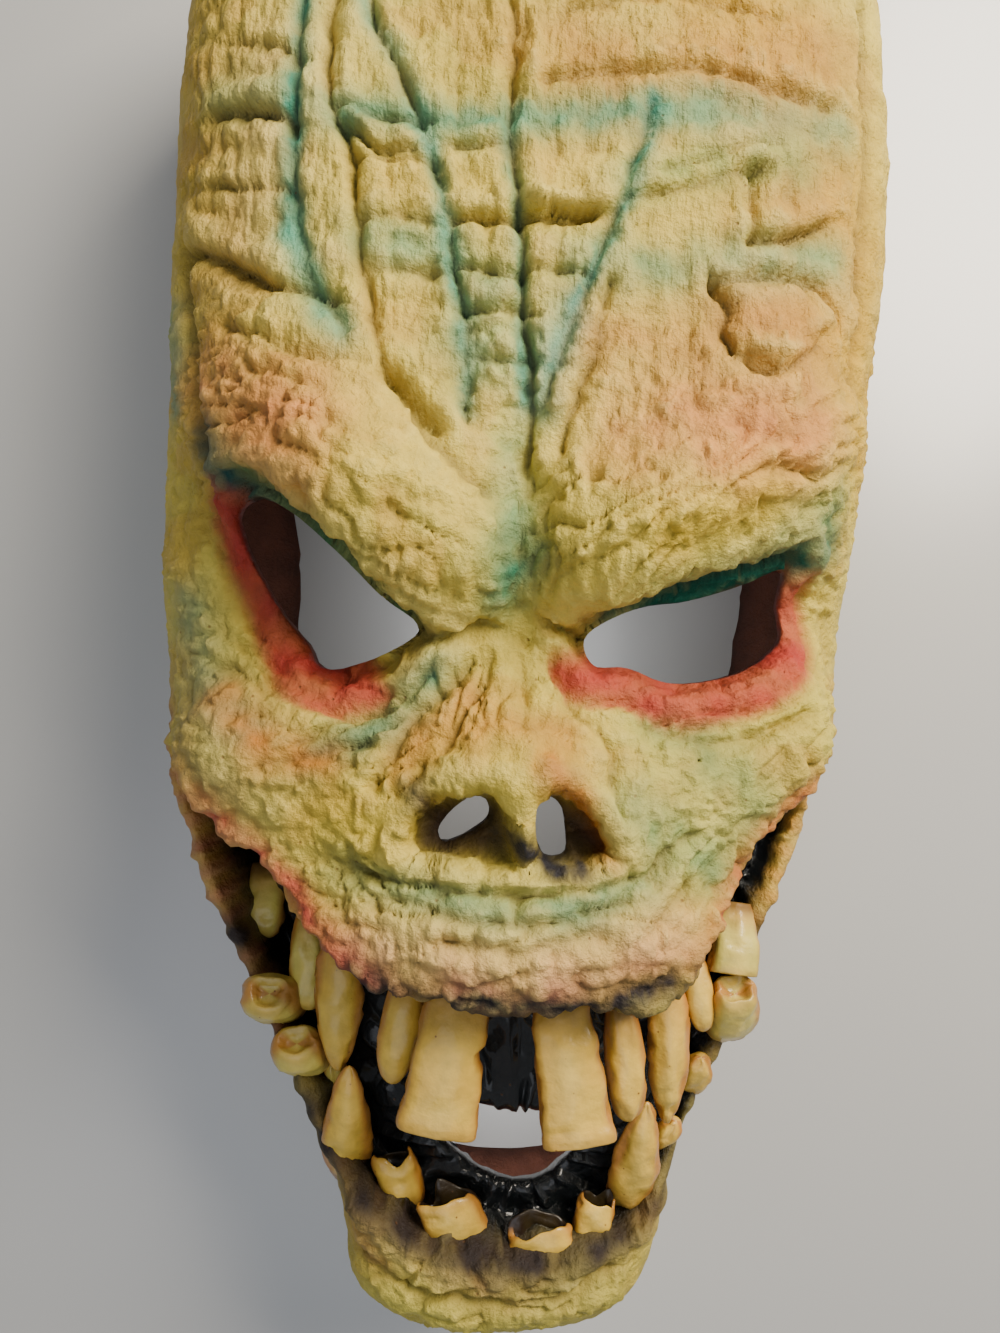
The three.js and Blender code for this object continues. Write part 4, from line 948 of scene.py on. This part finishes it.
def tooth_end(share_x, share_y, above):
    px, py = share_x * HALF_WIDTH, share_y * HALF_LENGTH
    return np.array([px, py, gum_height(px, py) + above])


def on_tooth(turns, run, layer):
    """Noise over a tooth: turns of it for a radian round, and one for run millimetres along."""
    return noise(turn * turns, at * length / run, 1, layer + index)


for index, (name, form, width, thick, root, tip) in enumerate(TEETH):
    start, end = tooth_end(*root), tooth_end(*tip)
    length = np.linalg.norm(end - start)
    axis = (end - start) / length
    side = np.array([-axis[1], axis[0], 0]) / np.hypot(axis[0], axis[1])
    face = np.cross(side, axis)
    if face[2] < 0:
        side, face = -side, -face
    girths = open_curve(TOOTH_FORMS[form], TOOTH_STEPS)
    at, girth = girths[:, :1], np.maximum(girths[:, 1:], 0)
    turn = np.linspace(0, 2 * np.pi, TOOTH_SIDES, endpoint=False)[None]
    c, s = np.cos(turn), np.sin(turn)
    power = TOOTH_SQUARENESS[form]
    swell = (np.abs(c) ** power + np.abs(s) ** power) ** (-1 / power)
    aside = swell * c * girth * width / 2 * (1 + 0.1 * at * (form == "incisor"))
    ahead = swell * s * girth * thick / 2 + TOOTH_BOW * length * 4 * at * (1 - at)
    # the front band of each tooth: a ridge on the incisors, and a painted highlight
    ridge_and_highlight = bell((turn - np.pi / 2) / 0.38)
    ridges, dimples = on_tooth(1.6, 5, 130) - 0.5, on_tooth(5, 1.6, 220) - 0.5
    chips = smooth((on_tooth(1.3, 3.2, 260) - 0.7) / 0.12) * (form != "peg")
    lump = (1.3 * ridges + 0.3 * dimples - 0.7 * chips) * np.minimum(1, girth * 3)
    ahead = ahead + FACING_RIDGE * ridge_and_highlight * girth * (form == "incisor")
    aside, ahead = aside + lump * c, ahead + lump * s
    if name == "upper_left_central_incisor":  # a piece is broken out of its inner edge
        aside = aside + BROKEN_DEPTH * bell((at - 0.4) / 0.05) * smooth((-c - 0.5) / 0.3)
    if form == "cup":
        broken_rim = noise(turn * 1.4, 0 * turn, 1, 190 + index) - 0.65
        at = at + 0.5 * smooth((at - 0.5) / 0.5) * broken_rim
    spots = start + (at * length)[..., None] * axis
    spots = spots + aside[..., None] * side + ahead[..., None] * face
    rows, sides = spots.shape[:2]
    ids = np.arange(rows * sides).reshape(rows, sides)
    around = np.roll(ids, -1, axis=1)
    walls = np.stack([ids[:-1], around[:-1], around[1:], ids[1:]], -1).reshape(-1, 4)
    handed = np.dot(np.cross(side, face), axis)
    caps = [ids[0][::-1], ids[-1]]
    polygons = [tuple(w) for w in walls] + [tuple(cap) for cap in caps]
    if handed < 0:
        polygons = [p[::-1] for p in polygons]
    tooth_mesh = mesh_of(name, spots.reshape(-1, 3) * MILLIMETRE, polygons)
    tint = np.empty(spots.shape)
    at_front = abs(root[0]) < FRONT_TOOTH_REACH
    tint[:] = linear("#D4AA3E" if at_front else "#C6B552")
    for amount, hex_code in [
        (0.6 * on_tooth(1.5, 6, 160), "#E0BE50" if at_front else "#D3C468"),
        # painted highlight along the front of the tooth
        (0.4 * ridge_and_highlight, "#EACB66"),
        (0.6 * smooth((0.42 - at) / 0.4), "#B9853C"),
        (0.75 * smooth((0.12 - at) / 0.2), "#5A351E"),
        (0.75 * smooth((np.abs(c) - 0.62) / 0.34), "#A5602A"),
        (0.35 * smooth((at - 0.8) / 0.2), "#B27C38"),
    ]:
        tint += np.clip(amount, 0, 1)[..., None] * (linear(hex_code) - tint)
    if form == "cup":  # black in its bowl and on the side that faces the gum
        in_bowl = smooth((np.arange(rows)[:, None] / rows - 0.53) / 0.06)
        black = np.maximum(in_bowl, smooth((0.1 - s) / 0.3))
        tint += 0.97 * black[..., None] * (linear("#15110F") - tint)
    keep_numbers(tooth_mesh, "paint", tint.reshape(-1, 3))
    tooth_mesh.materials.append(glazed)
    tooth = new_object(f"{name}_casting", tooth_mesh)
    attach(tooth, "root")
    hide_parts(name)

# The table: a large, plain, pale laminate top, faintly glossy.

FLOOR_SIZE = 3.0
corners = np.array([(-1, -1, 0), (1, -1, 0), (1, 1, 0), (-1, 1, 0)]) * FLOOR_SIZE / 2
floor_mesh = mesh_of("table_top", corners, [(0, 1, 2, 3)])
laminate, tree, shader = new_material("pale_laminate", Roughness=0.26, IOR=1.75)
where = add_node(tree, "TexCoord", output="Object")
tones = {6: (*linear("#B6B6B4"), 1), 7: (*linear("#BFBFBD"), 1)}
haze = noise_texture(tree, where, 5, 2)
tone = add_node(tree, "Mix", {"data_type": "RGBA", **tones}, {0: haze}, 2)
tree.links.new(tone, shader.inputs["Base Color"])
floor_mesh.materials.append(laminate)
floor = new_object("table_top", floor_mesh)

# Light: a soft box high on the right, a weak one above the chin, and grey air. Two faint ones in
# the mask stand for the light that its open back lets in, seen through nostrils and throat.


def area_light(name, place, target, size, watts, hex_code):
    light = bpy.data.lights.new(name, "AREA")
    light.size, light.energy, light.color = size, watts, tuple(linear(hex_code))
    lamp = new_object(name, light)
    lamp.location = place
    direction = lamp.location - type(lamp.location)(target)
    lamp.rotation_euler = direction.to_track_quat("Z", "Y").to_euler()
    return lamp


area_light("key_light", (0.45, 0.43, 0.62), (0.0, -0.04, 0.05), 0.46, 16, "#FFF4E2")
area_light("fill_light", (-0.15, -0.45, 0.9), (0.0, 0.0, 0.05), 0.7, 2.0, "#EEF3FF")
area_light("glow_inside", (0.0, -0.02, 0.07), (0.0, -0.02, 0.0), 0.09, 0.055, "#FFFFFF")
area_light("glow_in_jaw", (-0.004, -0.185, 0.045), (-0.004, -0.2, 0.0), 0.05, 0.03, "#FFFFFF")
air = bpy.data.worlds.new("studio_air")
air.use_nodes = True
background = air.node_tree.nodes["Background"]
background.inputs["Color"].default_value = (*linear("#E4E8EE"), 1)
background.inputs["Strength"].default_value = 0.36
bpy.context.scene.world = air

# Camera: a phone held level, 375 mm above the table.

CAMERA_PLACE = (-0.0065, -0.028, 0.375)
camera_data = bpy.data.cameras.new("camera")
camera_data.lens, camera_data.sensor_width = 27, 36
camera = new_object("camera", camera_data)
camera.location = CAMERA_PLACE
bpy.context.scene.camera = camera
